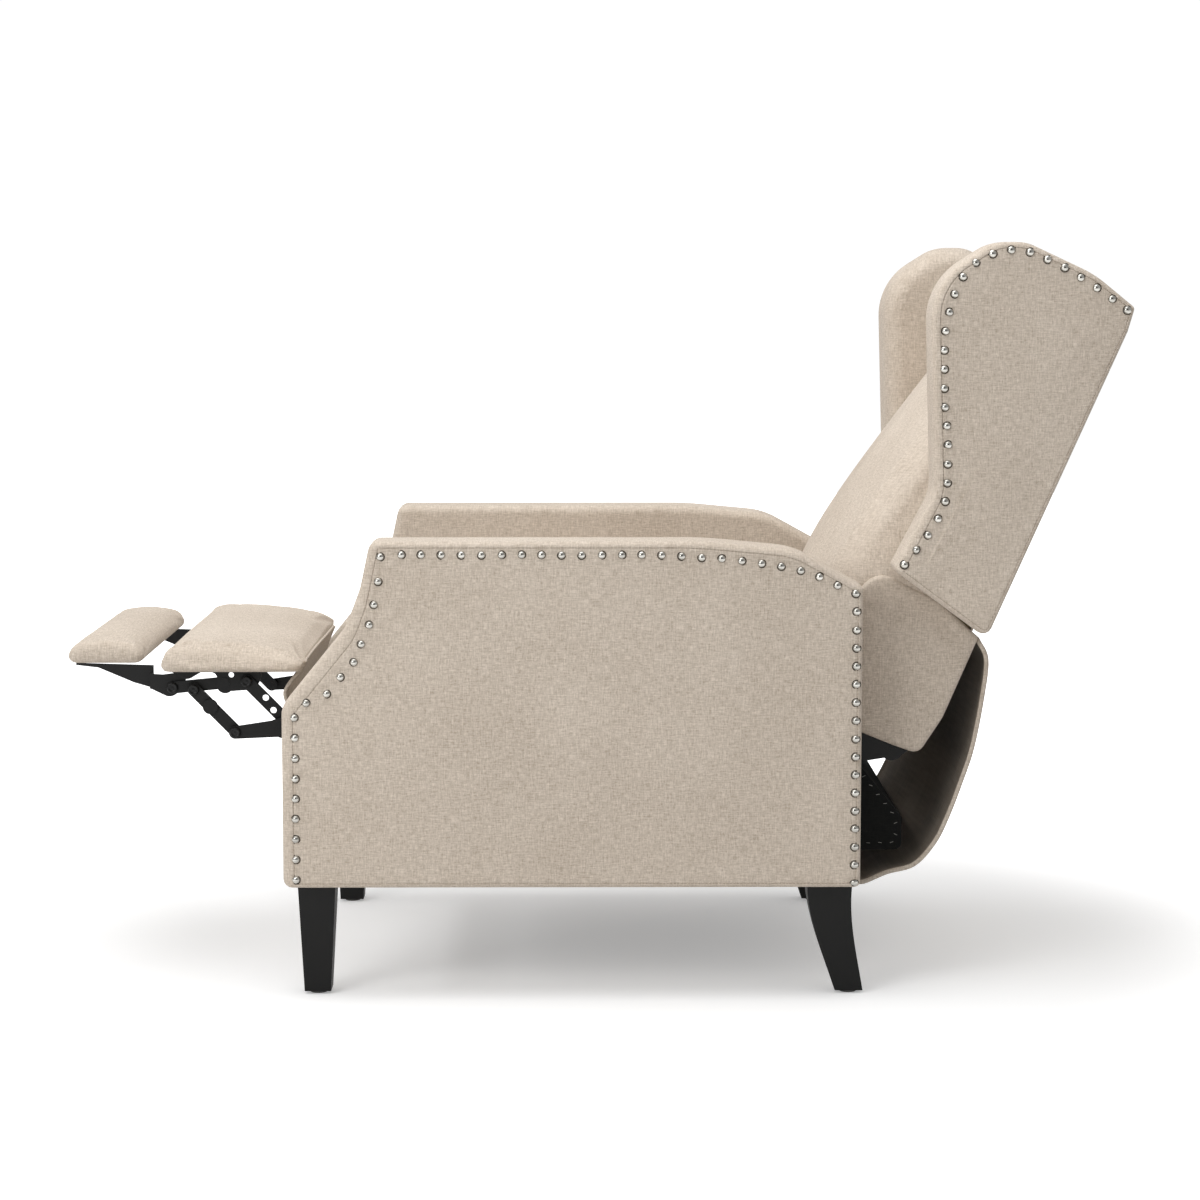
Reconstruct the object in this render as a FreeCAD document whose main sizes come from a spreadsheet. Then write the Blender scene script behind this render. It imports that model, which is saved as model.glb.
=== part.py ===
import FreeCAD, Part
import Sketcher
import math
import os

# Push-back wing recliner, shown reclined with its footrest out. Millimetres, +Z up, the chair
# faces -Y, +X is the sitter's left side, and the origin is on the floor under the chair's middle.

os.makedirs("parts", exist_ok=True)
doc = FreeCAD.newDocument("wing_recliner")
V3 = FreeCAD.Vector

# Driving dimensions
VALUES = {
    "arm_inner": 265.0,
    "arm_width": 80.0,
    "arm_height": 606.0,
    "arm_front": -402.0,
    "arm_back": 356.0,
    "arm_roll": 9.0,
    "leg_top": 50.0,
    "leg_foot": 35.0,
    "leg_height": 150.0,
    "leg_outer": 315.0,
    "glide_radius": 11.0,
    "glide_height": 4.0,
    "rail_wide": 28.0,
    "side_rail_wide": 10.0,
    "seat_rail_tall": 32.0,
    "seat_rail_wide": 27.0,
    "plate_thick": 3.0,
    "swing_thick": 4.0,
    "swing_gap": 2.0,
    "side_gap": 3.0,
    "cross_gap": 5.0,
    "bracket_gap": 1.4,
    "nose_gap": 0.6,
    "nose_jog": 13.0,
    "washer_gap": 0.3,
    "head_tall": 2.0,
    "swing_span": 130.0,
    "swing_half": 14.0,
    "pin_radius": 4.0,
    "pin_clearance": 0.05,
    "rivet_radius": 7.0,
    "bolt_radius": 10.0,
    "deck_thick": 6.0,
    "cushion_gap": 7.0,
    "cushion_tall": 78.0,
    "cushion_crown": 11.0,
    "cushion_front": -290.0,
    "cushion_back": 244.0,
    "back_tilt": 23.1,
    "post_wide": 40.0,
    "post_thick": 30.0,
    "back_gap": 4.0,
    "panel_thick": 5.0,
    "wing_width": 80.0,
    "wing_set": 3.0,
    "wing_roll": 9.0,
    "skirt_gap": 15.0,
    "skirt_thick": 4.0,
    "box_gap": 5.0,
    "deck_gap": 4.0,
    "main_pad_half": 260.0,
    "flip_pad_half": 214.0,
    "board_thick": 6.0,
    "link_half": 8.5,
    "hole_radius": 4.3,
    "tube_radius": 8.0,
    "flap_half": 205.0,
    "flap_thick": 3.0,
}
sheet = doc.addObject("Spreadsheet::Sheet", "Dims")
for row, (alias, value) in enumerate(VALUES.items(), 1):
    sheet.set("A%d" % row, alias)
    sheet.set("B%d" % row, str(value))
    sheet.setAlias("B%d" % row, alias)
doc.recompute()


def size(alias):
    return float(sheet.get(alias))


# Pivots of the reclined chair, as (Y, Z)
HINGE_BACK = (407.0, 318.0)
SWING_BASE = [(-190.0, 195.0), (130.0, 195.0)]
SWING_REST = 48.0
OTTOMAN_S = (-215.0, 360.0)
PIVOT_A = (-558.6, 398.8)
PIVOT_B = (-529.3, 397.4)
PIVOT_C = (-488.2, 405.6)
PIVOT_D = (-458.2, 408.4)
PIVOT_F = (-473.5, 340.2)
PIVOT_Q = (PIVOT_D[0] + PIVOT_F[0] - PIVOT_B[0], PIVOT_D[1] + PIVOT_F[1] - PIVOT_B[1])
swing_reach = size("swing_span")
SWING_TOP = [
    (y + swing_reach * math.sin(math.radians(SWING_REST)), z + swing_reach * math.cos(math.radians(SWING_REST)))
    for y, z in SWING_BASE
]

# Planes of the flat steel, as distances from the chair's middle, worked inwards from the arm
STEEL = size("plate_thick")
PLANE_BASE = size("arm_inner") - size("side_rail_wide") - STEEL
PLANE_SWING = PLANE_BASE - size("swing_gap") - size("swing_thick")
PLANE_SEAT = PLANE_SWING - size("side_gap") - STEEL
PLANE_LOWER = PLANE_SEAT - size("side_gap") - STEEL
PLANE_CROSS = PLANE_LOWER - size("cross_gap") - STEEL
PLANE_BRACKET = PLANE_CROSS - size("bracket_gap") - STEEL
PLANE_BAR = PLANE_BRACKET - STEEL
PLANE_NOSE = PLANE_BAR - size("nose_gap") - STEEL
PLANE_FLIP = PLANE_NOSE - size("nose_jog")

WING_INNER = size("arm_inner") - size("wing_set")

# Faces that pins and rivet heads reach to
gap = size("washer_gap")
SWING_FAR = PLANE_SWING + size("swing_thick") + gap
SWING_NEAR = PLANE_SWING - gap
SEAT_FAR = PLANE_SEAT + STEEL
LOWER_FAR = PLANE_LOWER + STEEL
CROSS_FAR = PLANE_CROSS + STEEL + gap
BRACKET_FAR = PLANE_BRACKET + STEEL
NOSE_NEAR = PLANE_NOSE - 0.2
POST_OUT = PLANE_SEAT - STEEL - 1.0

nodes = []


def plane(body, role):
    for feature in body.Origin.OriginFeatures:
        if feature.Role == role:
            return feature
    raise ValueError(role)


def new_body(label, position=(0.0, 0.0, 0.0), angle=0.0):
    body = doc.addObject("PartDesign::Body", label)
    body.Label = label
    body.Placement = FreeCAD.Placement(V3(*position), FreeCAD.Rotation(V3(1, 0, 0), angle))
    nodes.append(body)
    return body


def new_sketch(body, name, role, lift=0.0):
    sketch = body.newObject("Sketcher::SketchObject", name)
    sketch.AttachmentSupport = (plane(body, role), [""])
    sketch.MapMode = "FlatFace"
    sketch.AttachmentOffset = FreeCAD.Placement(V3(0, 0, lift), FreeCAD.Rotation())
    return sketch


def pad(body, sketch, name, length, middle=False):
    feature = body.newObject("PartDesign::Pad", name)
    feature.Profile = sketch
    feature.Midplane = middle
    if isinstance(length, str):
        feature.setExpression("Length", "Dims." + length)
    else:
        feature.Length = length
    sketch.Visibility = False
    return feature


def circle(sketch, y, z, radius, name):
    index = sketch.addGeometry(Part.Circle(V3(y, z, 0), V3(0, 0, 1), 5.0))
    bound(sketch, index, radius, name)
    return index


def bound(sketch, index, radius, name):
    number = sketch.addConstraint(Sketcher.Constraint("Radius", index, 5.0))
    sketch.renameConstraint(number, name)
    sketch.setExpression("Constraints." + name, str(radius))


def edges_from(steps):
    # steps: start point, then ("line", p), ("arc", through, p) or ("curve", p, p, ...), closed by a line
    here = V3(steps[0][0], steps[0][1], 0)
    first = here
    made = []
    for kind, *points in steps[1:]:
        points = [V3(p[0], p[1], 0) for p in points]
        if kind == "line":
            made.append(Part.LineSegment(here, points[-1]))
        elif kind == "arc":
            made.append(Part.Arc(here, points[0], points[-1]))
        else:
            curve = Part.BSplineCurve()
            curve.interpolate([here] + points)
            made.append(curve)
        here = points[-1]
    if here.distanceToPoint(first) > 1e-6:
        made.append(Part.LineSegment(here, first))
    return made


def rounded(corners):
    # a closed outline of straight runs joined by tangent arcs; each corner is (y, z, radius)
    steps = []
    count = len(corners)
    for k in range(count):
        here = V3(corners[k][0], corners[k][1], 0)
        before = V3(corners[k - 1][0], corners[k - 1][1], 0) - here
        after = V3(corners[(k + 1) % count][0], corners[(k + 1) % count][1], 0) - here
        before.normalize()
        after.normalize()
        half_turn = before.getAngle(after) / 2
        radius = corners[k][2]
        start = here + before * (radius / math.tan(half_turn))
        stop = here + after * (radius / math.tan(half_turn))
        inward = before + after
        inward.normalize()
        middle = here + inward * (radius / math.sin(half_turn) - radius)
        if k == 0:
            steps.append((start.x, start.y))
        else:
            steps.append(("line", (start.x, start.y)))
        steps.append(("arc", (middle.x, middle.y), (stop.x, stop.y)))
    return steps


def at_side(side, near, far):
    # the two faces of a flat piece on the left (+1) or right (-1) side, in rising X
    return (near, far) if side > 0 else (-far, -near)


def outline_body(label, steps, x_low, length, position=(0.0, 0.0), angle=0.0, middle=False):
    body = new_body(label, (x_low, position[0], position[1]), angle)
    sketch = new_sketch(body, label + "_outline", "YZ_Plane")
    sketch.addGeometry(edges_from(steps), False)
    pad(body, sketch, label + "_pad", length, middle)
    return body


def round_faces(body, name, radius, width):
    # round every edge that lies wholly in one of the two end faces
    low, high = 0.0, width
    doc.recompute()
    base = body.Tip
    chosen = []
    for number, edge in enumerate(base.Shape.Edges, 1):
        box = edge.BoundBox
        if box.XLength < 0.01 and (abs(box.XMin - low) < 0.01 or abs(box.XMin - high) < 0.01):
            chosen.append("Edge%d" % number)
    fillet = body.newObject("PartDesign::Fillet", name)
    fillet.Base = (base, chosen)
    fillet.setExpression("Radius", "Dims." + radius)
    doc.recompute()
    return fillet


def pin(body, label, y, z, x_low, length, radius):
    sketch = new_sketch(body, label, "YZ_Plane", x_low)
    circle(sketch, y, z, radius, "radius")
    return pad(body, sketch, label + "_pad", length)


def bore(body, label, spots, x_low, x_high, radius):
    sketch = new_sketch(body, label, "YZ_Plane", x_low)
    for number, (y, z) in enumerate(spots):
        circle(sketch, y, z, radius, "radius%d" % number)
    pocket = body.newObject("PartDesign::Pocket", label + "_cut")
    pocket.Profile = sketch
    pocket.Length = x_high - x_low
    pocket.Reversed = True
    sketch.Visibility = False
    return pocket


def slot_steps(length, half):
    return [
        (0, half), ("arc", (-half, 0), (0, -half)), ("line", (length, -half)),
        ("arc", (length + half, 0), (length, half)),
    ]


def bar_body(label, side, near, thick, start, end, half, holes, stretch=0.0):
    # a flat bar with round ends between two pivots, its own origin at the first pivot
    dy = end[0] - start[0]
    dz = end[1] - start[1]
    span = math.hypot(dy, dz)
    turn = math.degrees(math.atan2(dz, dy))
    low, high = at_side(side, near, near + size(thick))
    body = outline_body(label, slot_steps(span, half), low, thick, start, turn)
    if holes:
        bore(body, label + "_bore", [(h * span, 0.0) for h in holes], -1.0, high - low + 1.0,
             "Dims.pin_radius + Dims.pin_clearance")
    return body


def box_node(label, corner, lengths, spin=None):
    box = doc.addObject("Part::Box", label)
    box.Label = label
    for prop, value in zip(("Length", "Width", "Height"), lengths):
        if isinstance(value, str):
            box.setExpression(prop, value)
        else:
            setattr(box, prop, value)
    rotation = spin if spin else FreeCAD.Rotation()
    box.Placement = FreeCAD.Placement(V3(*corner), rotation)
    nodes.append(box)
    return box


SIDES = (("left", 1), ("right", -1))
HOLE = "Dims.pin_radius + Dims.pin_clearance"

# Arms: flat upholstered slabs with a scooped front and a back corner that slopes to the rear
arm_top = size("arm_height")
arm_low = size("leg_height")
arm_front = size("arm_front")
arm_back = size("arm_back")
ARM = rounded([
    (arm_front + 1, arm_low, 12), (arm_front + 1, 389, 30), (-298, 514, 150), (-283, arm_top, 14),
    (150, arm_top, 500), (267, arm_top - 11, 110), (arm_back, arm_top - 60, 8), (arm_back, arm_low, 8),
])
for name, side in SIDES:
    low, high = at_side(side, size("arm_inner"), size("arm_inner") + size("arm_width"))
    arm = outline_body("arm_" + name, ARM, low, "arm_width")
    round_faces(arm, "arm_round_" + name, "arm_roll", size("arm_width"))

# Legs: square and tapered in front, curved back behind, each on a round glide
def leg(label, side, sections):
    centre = side * (size("leg_outer") - size("leg_top") / 2)
    body = new_body(label, (centre, 0.0, 0.0))
    sketches = []
    for number, (height, front, rear, wide) in enumerate(sections):
        sketch = new_sketch(body, "%s_s%d" % (label, number), "XY_Plane", height)
        half = wide / 2.0
        corners = [V3(-half, front, 0), V3(half, front, 0), V3(half, rear, 0), V3(-half, rear, 0)]
        for k in range(4):
            sketch.addGeometry(Part.LineSegment(corners[k], corners[(k + 1) % 4]), False)
        sketches.append(sketch)
    loft = body.newObject("PartDesign::AdditiveLoft", label + "_loft")
    loft.Profile = sketches[0]
    loft.Sections = sketches[1:]
    for sketch in sketches:
        sketch.Visibility = False
    return body


leg_z = size("leg_height")
foot_z = size("glide_height")
top_w = size("leg_top")
foot_w = size("leg_foot")
for name, side in SIDES:
    leg("leg_front_" + name, side, [(foot_z, -377.5, -342.5, foot_w), (leg_z, -384.5, -334.5, top_w)])
    leg("leg_rear_" + name, side, [
        (foot_z, 326.5, 363.5, foot_w), (40.0, 314.0, 357.0, 38.0),
        (95.0, 296.5, 348.5, 44.0), (leg_z, 288.0, 348.0, top_w),
    ])
for end, spot in (("front", -360.0), ("rear", 345.0)):
    for name, side in SIDES:
        glide = doc.addObject("Part::Cylinder", "glide_%s_%s" % (end, name))
        glide.Label = "glide_%s_%s" % (end, name)
        glide.setExpression("Radius", "Dims.glide_radius")
        glide.setExpression("Height", "Dims.glide_height")
        centre = side * (size("leg_outer") - size("leg_top") / 2)
        glide.Placement = FreeCAD.Placement(V3(centre, spot, 0), FreeCAD.Rotation())
        nodes.append(glide)

# Base: two cross rails, a rail along each arm and the steel plate that carries the swing links
cross = "2 * Dims.arm_inner - 2 * Dims.side_rail_wide"
cross_low = size("side_rail_wide") - size("arm_inner")
rail_z = arm_low + 2.0
box_node("base_rail_front", (cross_low, -245, rail_z), (cross, "Dims.rail_wide", 34))
box_node("base_rail_rear", (cross_low, 326, rail_z), (cross, "Dims.rail_wide", 24))
for name, side in SIDES:
    low, high = at_side(side, size("arm_inner") - size("side_rail_wide"), size("arm_inner"))
    box_node("base_side_rail_" + name, (low, -302, rail_z), ("Dims.side_rail_wide", 656, 84))
    plate_low, plate_high = at_side(side, PLANE_BASE, PLANE_BASE + size("plate_thick"))
    steps = [
        (-214, 170), ("line", (300, 170)), ("line", (300, 200)), ("line", (160, 222)),
        ("line", (100, 222)), ("line", (60, 200)), ("line", (-130, 200)), ("line", (-165, 222)),
        ("line", (-214, 222)),
    ]
    plate = outline_body("base_plate_" + name, steps, plate_low, "plate_thick")
    for number, (y, z) in enumerate(SWING_BASE):
        inner, outer = at_side(side, SWING_NEAR - size("head_tall"), PLANE_BASE)
        pin(plate, "base_pin%d_%s" % (number, name), y, z, inner - plate_low, outer - inner, "Dims.pin_radius")
        inner, outer = at_side(side, SWING_NEAR - size("head_tall"), SWING_NEAR)
        pin(plate, "base_head%d_%s" % (number, name), y, z, inner - plate_low, outer - inner,
            "Dims.rivet_radius")
        inner, outer = at_side(side, SWING_FAR, PLANE_BASE)
        pin(plate, "base_collar%d_%s" % (number, name), y, z, inner - plate_low, outer - inner,
            "Dims.rivet_radius")

# Swing links: four equal bars that let the seat travel back and down
for number, end in enumerate(("front", "rear")):
    for name, side in SIDES:
        bar_body("swing_%s_%s" % (end, name), side, PLANE_SWING, "swing_thick", SWING_BASE[number],
                 SWING_TOP[number], size("swing_half"), (0.0, 1.0))

# Seat: steel side plates, a wooden frame, its deck and the cushion
rail_low = 340.0
rail_top = rail_low + size("seat_rail_tall")
for name, side in SIDES:
    low, high = at_side(side, PLANE_SEAT, PLANE_SEAT + size("plate_thick"))
    top_y0, top_z0 = SWING_TOP[0]
    top_y1, top_z1 = SWING_TOP[1]
    steps = [
        (-234, rail_top), ("line", (-234, 358)), ("arc", (-229, 346), (-214, 341)), ("line", (-150, 341)),
        ("line", (top_y0 - 16, top_z0)), ("arc", (top_y0, top_z0 - 16), (top_y0 + 16, top_z0)),
        ("line", (top_y0 + 60, 335)), ("line", (top_y1 - 60, 335)), ("line", (top_y1 - 16, top_z1)),
        ("arc", (top_y1, top_z1 - 16), (top_y1 + 16, top_z1)), ("line", (396, 306)),
        ("arc", (421, 318), (400, 332)), ("line", (300, rail_top)),
    ]
    plate = outline_body("seat_plate_" + name, steps, low, "plate_thick")
    for number, (y, z) in enumerate(SWING_TOP):
        inner, outer = at_side(side, SEAT_FAR, SWING_FAR)
        pin(plate, "seat_pin%d_%s" % (number, name), y, z, inner - low, outer - inner, "Dims.pin_radius")
        inner, outer = at_side(side, SEAT_FAR, SWING_NEAR)
        pin(plate, "seat_collar%d_%s" % (number, name), y, z, inner - low, outer - inner,
            "Dims.rivet_radius")
        inner, outer = at_side(side, SWING_FAR, SWING_FAR + 1.3)
        pin(plate, "seat_head%d_%s" % (number, name), y, z, inner - low, outer - inner,
            "Dims.rivet_radius")
    bore(plate, "seat_bore_" + name, [OTTOMAN_S, HINGE_BACK], -1.0, size("plate_thick") + 1.0, HOLE)
    rail_in, rail_out = at_side(side, PLANE_SEAT - size("seat_rail_wide"), PLANE_SEAT)
    box_node("seat_side_rail_" + name, (rail_in, -198, rail_low),
             ("Dims.seat_rail_wide", 498, "Dims.seat_rail_tall"))
inner_half = PLANE_SEAT - size("seat_rail_wide")
box_node("seat_front_rail", (-205, -290, rail_low), (410, "Dims.rail_wide", "Dims.seat_rail_tall"))
box_node("seat_rear_rail", (-inner_half, 272, rail_low), (2 * inner_half, "Dims.rail_wide", "Dims.seat_rail_tall"))
deck_half = PLANE_SEAT - size("deck_gap")
box_node("seat_deck", (-deck_half, -290, rail_top), (2 * deck_half, 590, "Dims.deck_thick"))
box_steps = [
    (274, rail_low), ("line", (318, rail_low)), ("line", (334, 292)), ("line", (366, 292)),
    ("line", (421, 224)), ("line", (421, 189)), ("arc", (418, 183), (411, 180)), ("line", (274, 180)),
]
box_half = PLANE_SEAT - size("box_gap")
outline_body("seat_rear_box", box_steps, -box_half, 2 * box_half)


# Soft pieces: closed rings of arcs at rising heights, lofted into one skin
def ring(centre_y, half_x, half_y, z, corner, draw):
    diagonal = corner * (1 - math.sqrt(0.5))
    points = []
    for sx, sy in ((1, -1), (1, 1), (-1, 1), (-1, -1)):
        along_x = V3(sx * (half_x - corner), centre_y + sy * half_y, z)
        middle = V3(sx * (half_x - diagonal), centre_y + sy * (half_y - diagonal), z)
        along_y = V3(sx * half_x, centre_y + sy * (half_y - corner), z)
        points.append((along_x, middle, along_y) if sx * sy < 0 else (along_y, middle, along_x))
    pulls = [V3(half_x - draw, centre_y, z), V3(0, centre_y + half_y - draw, z),
             V3(-half_x + draw, centre_y, z), V3(0, centre_y - half_y + draw, z)]
    edges = []
    for k in range(4):
        start, middle, stop = points[k]
        edges.append(Part.Arc(start, middle, stop).toShape())
        edges.append(Part.Arc(stop, pulls[k], points[(k + 1) % 4][0]).toShape())
    return Part.Wire(edges)


def rolled_levels(low, shoulder, crown, roll_low, roll_top, reach):
    # (height, inset) of each ring: a rolled lower edge, a straight side, a rolled shoulder and a low crown
    levels = []
    for k in range(4):
        turn = math.radians(30 * k)
        levels.append((low + roll_low * (1 - math.cos(turn)), roll_low * (1 - math.sin(turn))))
    for k in range(6):
        turn = math.radians(18 * k)
        levels.append((shoulder - roll_top * (1 - math.sin(turn)), roll_top * (1 - math.cos(turn))))
    levels.append((shoulder + 0.7 * crown, roll_top + 0.45 * (reach - roll_top)))
    levels.append((shoulder + crown, reach))
    return levels


def cushion_node(label, centre_y, half_x, half_y, levels, corner, draw):
    wires = []
    for z, inset in levels:
        small = min(half_x, half_y) - inset
        wires.append(ring(centre_y, half_x - inset, half_y - inset, z, min(corner, 0.6 * small), draw))
    feature = doc.addObject("Part::Feature", label)
    feature.Label = label
    feature.Shape = Part.makeLoft(wires, True, True)
    feature.Placement = FreeCAD.Placement()
    nodes.append(feature)
    return feature


seat_low = rail_top + size("deck_thick") + 0.3
seat_mid = (size("cushion_front") + size("cushion_back")) / 2
seat_half = (size("cushion_back") - size("cushion_front")) / 2
cushion_node("seat_cushion", seat_mid, size("arm_inner") - size("cushion_gap"), seat_half,
             rolled_levels(seat_low, seat_low + size("cushion_tall"), size("cushion_crown"), 10.0, 22.0, 130.0),
             34.0, 3.0)

# Back: a tilted frame of posts and rails with a cushion in front and a panel behind
tilt = FreeCAD.Rotation(V3(1, 0, 0), -size("back_tilt"))


def tilted(x, y, z):
    turned = tilt.multVec(V3(x, y, z))
    return (turned.x, turned.y + HINGE_BACK[0], turned.z + HINGE_BACK[1])


post_in = POST_OUT - size("post_wide")
for name, side in SIDES:
    low, high = at_side(side, post_in, POST_OUT)
    box_node("back_post_" + name, tilted(low, 0, 24), ("Dims.post_wide", "Dims.post_thick", 616), tilt)
rail_length = 2 * post_in
for label, z in (("back_rail_low", 24), ("back_rail_top", 600)):
    box_node(label, tilted(-post_in, 0, z), (rail_length, "Dims.post_thick", "Dims.post_wide"), tilt)
# the outside panel is narrow between the lower side covers and wide between the wings, with a lip on top
panel_low = SEAT_FAR + 0.6
panel_wide = WING_INNER - 0.6
panel = new_body("back_panel", tilted(0, size("post_thick"), 0), -size("back_tilt"))
sketch = new_sketch(panel, "panel_outline", "XZ_Plane")
sketch.addGeometry(edges_from([
    (-panel_low, 20), ("line", (panel_low, 20)), ("line", (panel_low, 192)), ("line", (panel_wide, 192)),
    ("line", (panel_wide, 660)), ("line", (-panel_wide, 660)), ("line", (-panel_wide, 192)),
    ("line", (-panel_low, 192)),
]), False)
pad(panel, sketch, "panel_sheet", "panel_thick").Reversed = True
sketch = new_sketch(panel, "lip_outline", "XZ_Plane")
sketch.addGeometry(edges_from([
    (-panel_wide, 641), ("line", (panel_wide, 641)), ("line", (panel_wide, 651)), ("line", (-panel_wide, 651)),
]), False)
pad(panel, sketch, "panel_lip", size("post_thick"))

for name, side in SIDES:
    low, high = at_side(side, POST_OUT, POST_OUT + STEEL)
    steps = [
        (-36, 20), ("line", (-12, -7)), ("arc", (0, -13), (14, -5)), ("line", (30, 24)),
        ("line", (30, 150)), ("line", (4, 150)), ("line", (2, 60)),
    ]
    bracket = outline_body("back_bracket_" + name, steps, low, "plate_thick", HINGE_BACK, -size("back_tilt"))
    inner, outer = at_side(side, POST_OUT + STEEL, SEAT_FAR + 0.6)
    pin(bracket, "back_pin_" + name, 0, 0, inner - low, outer - inner, "Dims.pin_radius")
    low, high = at_side(side, SEAT_FAR + 1.0, SEAT_FAR + 9.0)
    steps = [
        (346, 351), ("curve", (372, 340), (400, 329), (426, 319.5), (441, 319.5), (453, 328)),
        ("line", (470, 367)), ("line", (511, 463)), ("line", (476.5, 479.8)), ("line", (431, 373)),
        ("line", (346, 409)),
    ]
    side_cover = outline_body("back_side_" + name, steps, low, 8.0)
    inner, outer = at_side(side, POST_OUT + STEEL, SEAT_FAR + 1.0)
    pin(side_cover, "back_side_block_" + name, 470, 420, inner - low, outer - inner, 11.0)

back_profile = [(-150, 66), (-184, 120), (-186, 200), (-168, 310), (-130, 470), (-104, 570), (-78, 628), (-40, 650)]


def back_section(x, shrink, crown):
    points = []
    for y, z in back_profile:
        scale = 1 - shrink
        points.append(V3(*tilted(x, -3 + (y + 3) * scale - crown, 66 + (z - 66) * (1 - shrink * 0.35))))
    front = Part.BSplineCurve()
    front.interpolate(points)
    rear_top = V3(*tilted(x, -0.4, 66 + 560 * (1 - shrink * 0.35)))
    rear_low = V3(*tilted(x, -0.4, 66))
    top = Part.Arc(points[-1], (points[-1] + rear_top) * 0.5 + V3(0, 5, 4), rear_top)
    rear = Part.LineSegment(rear_top, rear_low)
    low = Part.LineSegment(rear_low, points[0])
    return Part.Wire([front.toShape(), top.toShape(), rear.toShape(), low.toShape()])


back_cushion = doc.addObject("Part::Feature", "back_cushion")
back_cushion.Label = "back_cushion"
half = WING_INNER - size("back_gap")
back_cushion.Shape = Part.makeLoft(
    [back_section(x, s, c) for x, s, c in (
        (-half, 0.16, 0), (-half + 12, 0.05, 0), (-half + 45, 0.0, 2), (-110, 0.0, 8), (0, 0.0, 10),
        (110, 0.0, 8), (half - 45, 0.0, 2), (half - 12, 0.05, 0), (half, 0.16, 0))], True, False)
back_cushion.Placement = FreeCAD.Placement()
nodes.append(back_cushion)

WING = rounded([
    (394, 566, 8), (446, 668, 60), (437.5, 940, 90), (520, 991, 60), (562, 991, 50), (650, 950, 150),
    (700, 907, 6), (690, 876, 20), (516, 476, 12),
])
for name, side in SIDES:
    low, high = at_side(side, WING_INNER, WING_INNER + size("wing_width"))
    wing = outline_body("wing_" + name, WING, low, "wing_width")
    round_faces(wing, "wing_round_" + name, "wing_roll", size("wing_width"))
    inner, outer = at_side(side, POST_OUT, WING_INNER)
    for number, reach in enumerate((270, 520)):
        x, y, z = tilted(0, 15, reach)
        pin(wing, "wing_block%d_%s" % (number, name), y, z, inner - low, outer - inner, 13.0)

# Rear flap: one flexible board that hangs behind the back from the base
SKIRT = [(354.3, 150), (392, 147), (441, 161), (466, 191), (484, 228), (502, 277), (516, 322), (527, 388),
         (531, 440), (520, 469)]


def sheet_steps(line, thick):
    # a strip of even thickness along a line: out along it and back on its left hand
    back = []
    for k, (y, z) in enumerate(line):
        a = line[max(0, k - 1)]
        b = line[min(len(line) - 1, k + 1)]
        reach = math.hypot(b[0] - a[0], b[1] - a[1])
        back.append((y - thick * (b[1] - a[1]) / reach, z + thick * (b[0] - a[0]) / reach))
    back.reverse()
    return [line[0], ("curve",) + tuple(line[1:]), ("line", back[0]), ("curve",) + tuple(back[1:])]


skirt_half = size("arm_inner") - size("skirt_gap")
outline_body("rear_flap", sheet_steps(SKIRT, size("skirt_thick")), -skirt_half, 2 * skirt_half)

# Footrest: on each side a scissor of flat bars that keeps the bracket level with the lower bar
lower_span = (PIVOT_F[0] - OTTOMAN_S[0], PIVOT_F[1] - OTTOMAN_S[1])
q = (PIVOT_Q[0] - OTTOMAN_S[0], PIVOT_Q[1] - OTTOMAN_S[1])
f = lower_span
bar_half = size("link_half")
for name, side in SIDES:
    low, high = at_side(side, PLANE_LOWER, PLANE_LOWER + size("plate_thick"))
    steps = [
        (f[0], f[1] - bar_half), ("arc", (f[0] - bar_half, f[1]), (f[0], f[1] + bar_half)),
        ("line", (q[0] - 22, q[1] + 5)), ("arc", (q[0], q[1] + 10), (q[0] + 22, q[1] + 5)),
        ("line", (0, 11)), ("arc", (11, 0), (0, -11)), ("line", (q[0] + 22, q[1] - 15)),
        ("arc", (q[0] + 6, q[1] - 20), (q[0] - 14, q[1] - 17)),
    ]
    bar = outline_body("footrest_lower_bar_" + name, steps, low, "plate_thick", OTTOMAN_S)
    for number, (y, z) in enumerate((q, f)):
        inner, outer = at_side(side, PLANE_CROSS - gap, PLANE_LOWER)
        pin(bar, "lower_pin%d_%s" % (number, name), y, z, inner - low, outer - inner, "Dims.pin_radius")
        inner, outer = at_side(side, LOWER_FAR, LOWER_FAR + size("head_tall"))
        pin(bar, "lower_head%d_%s" % (number, name), y, z, inner - low, outer - inner, "Dims.rivet_radius")
    inner, outer = at_side(side, LOWER_FAR, SEAT_FAR + 1.5)
    pin(bar, "lower_pivot_" + name, 0, 0, inner - low, outer - inner, "Dims.pin_radius")
tube = doc.addObject("Part::Cylinder", "footrest_tube")
tube.Label = "footrest_tube"
tube.setExpression("Radius", "Dims.tube_radius")
tube.Height = 2 * PLANE_LOWER
tube.Placement = FreeCAD.Placement(V3(-PLANE_LOWER, OTTOMAN_S[0], OTTOMAN_S[1]), FreeCAD.Rotation(V3(0, 1, 0), 90))
nodes.append(tube)

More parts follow.
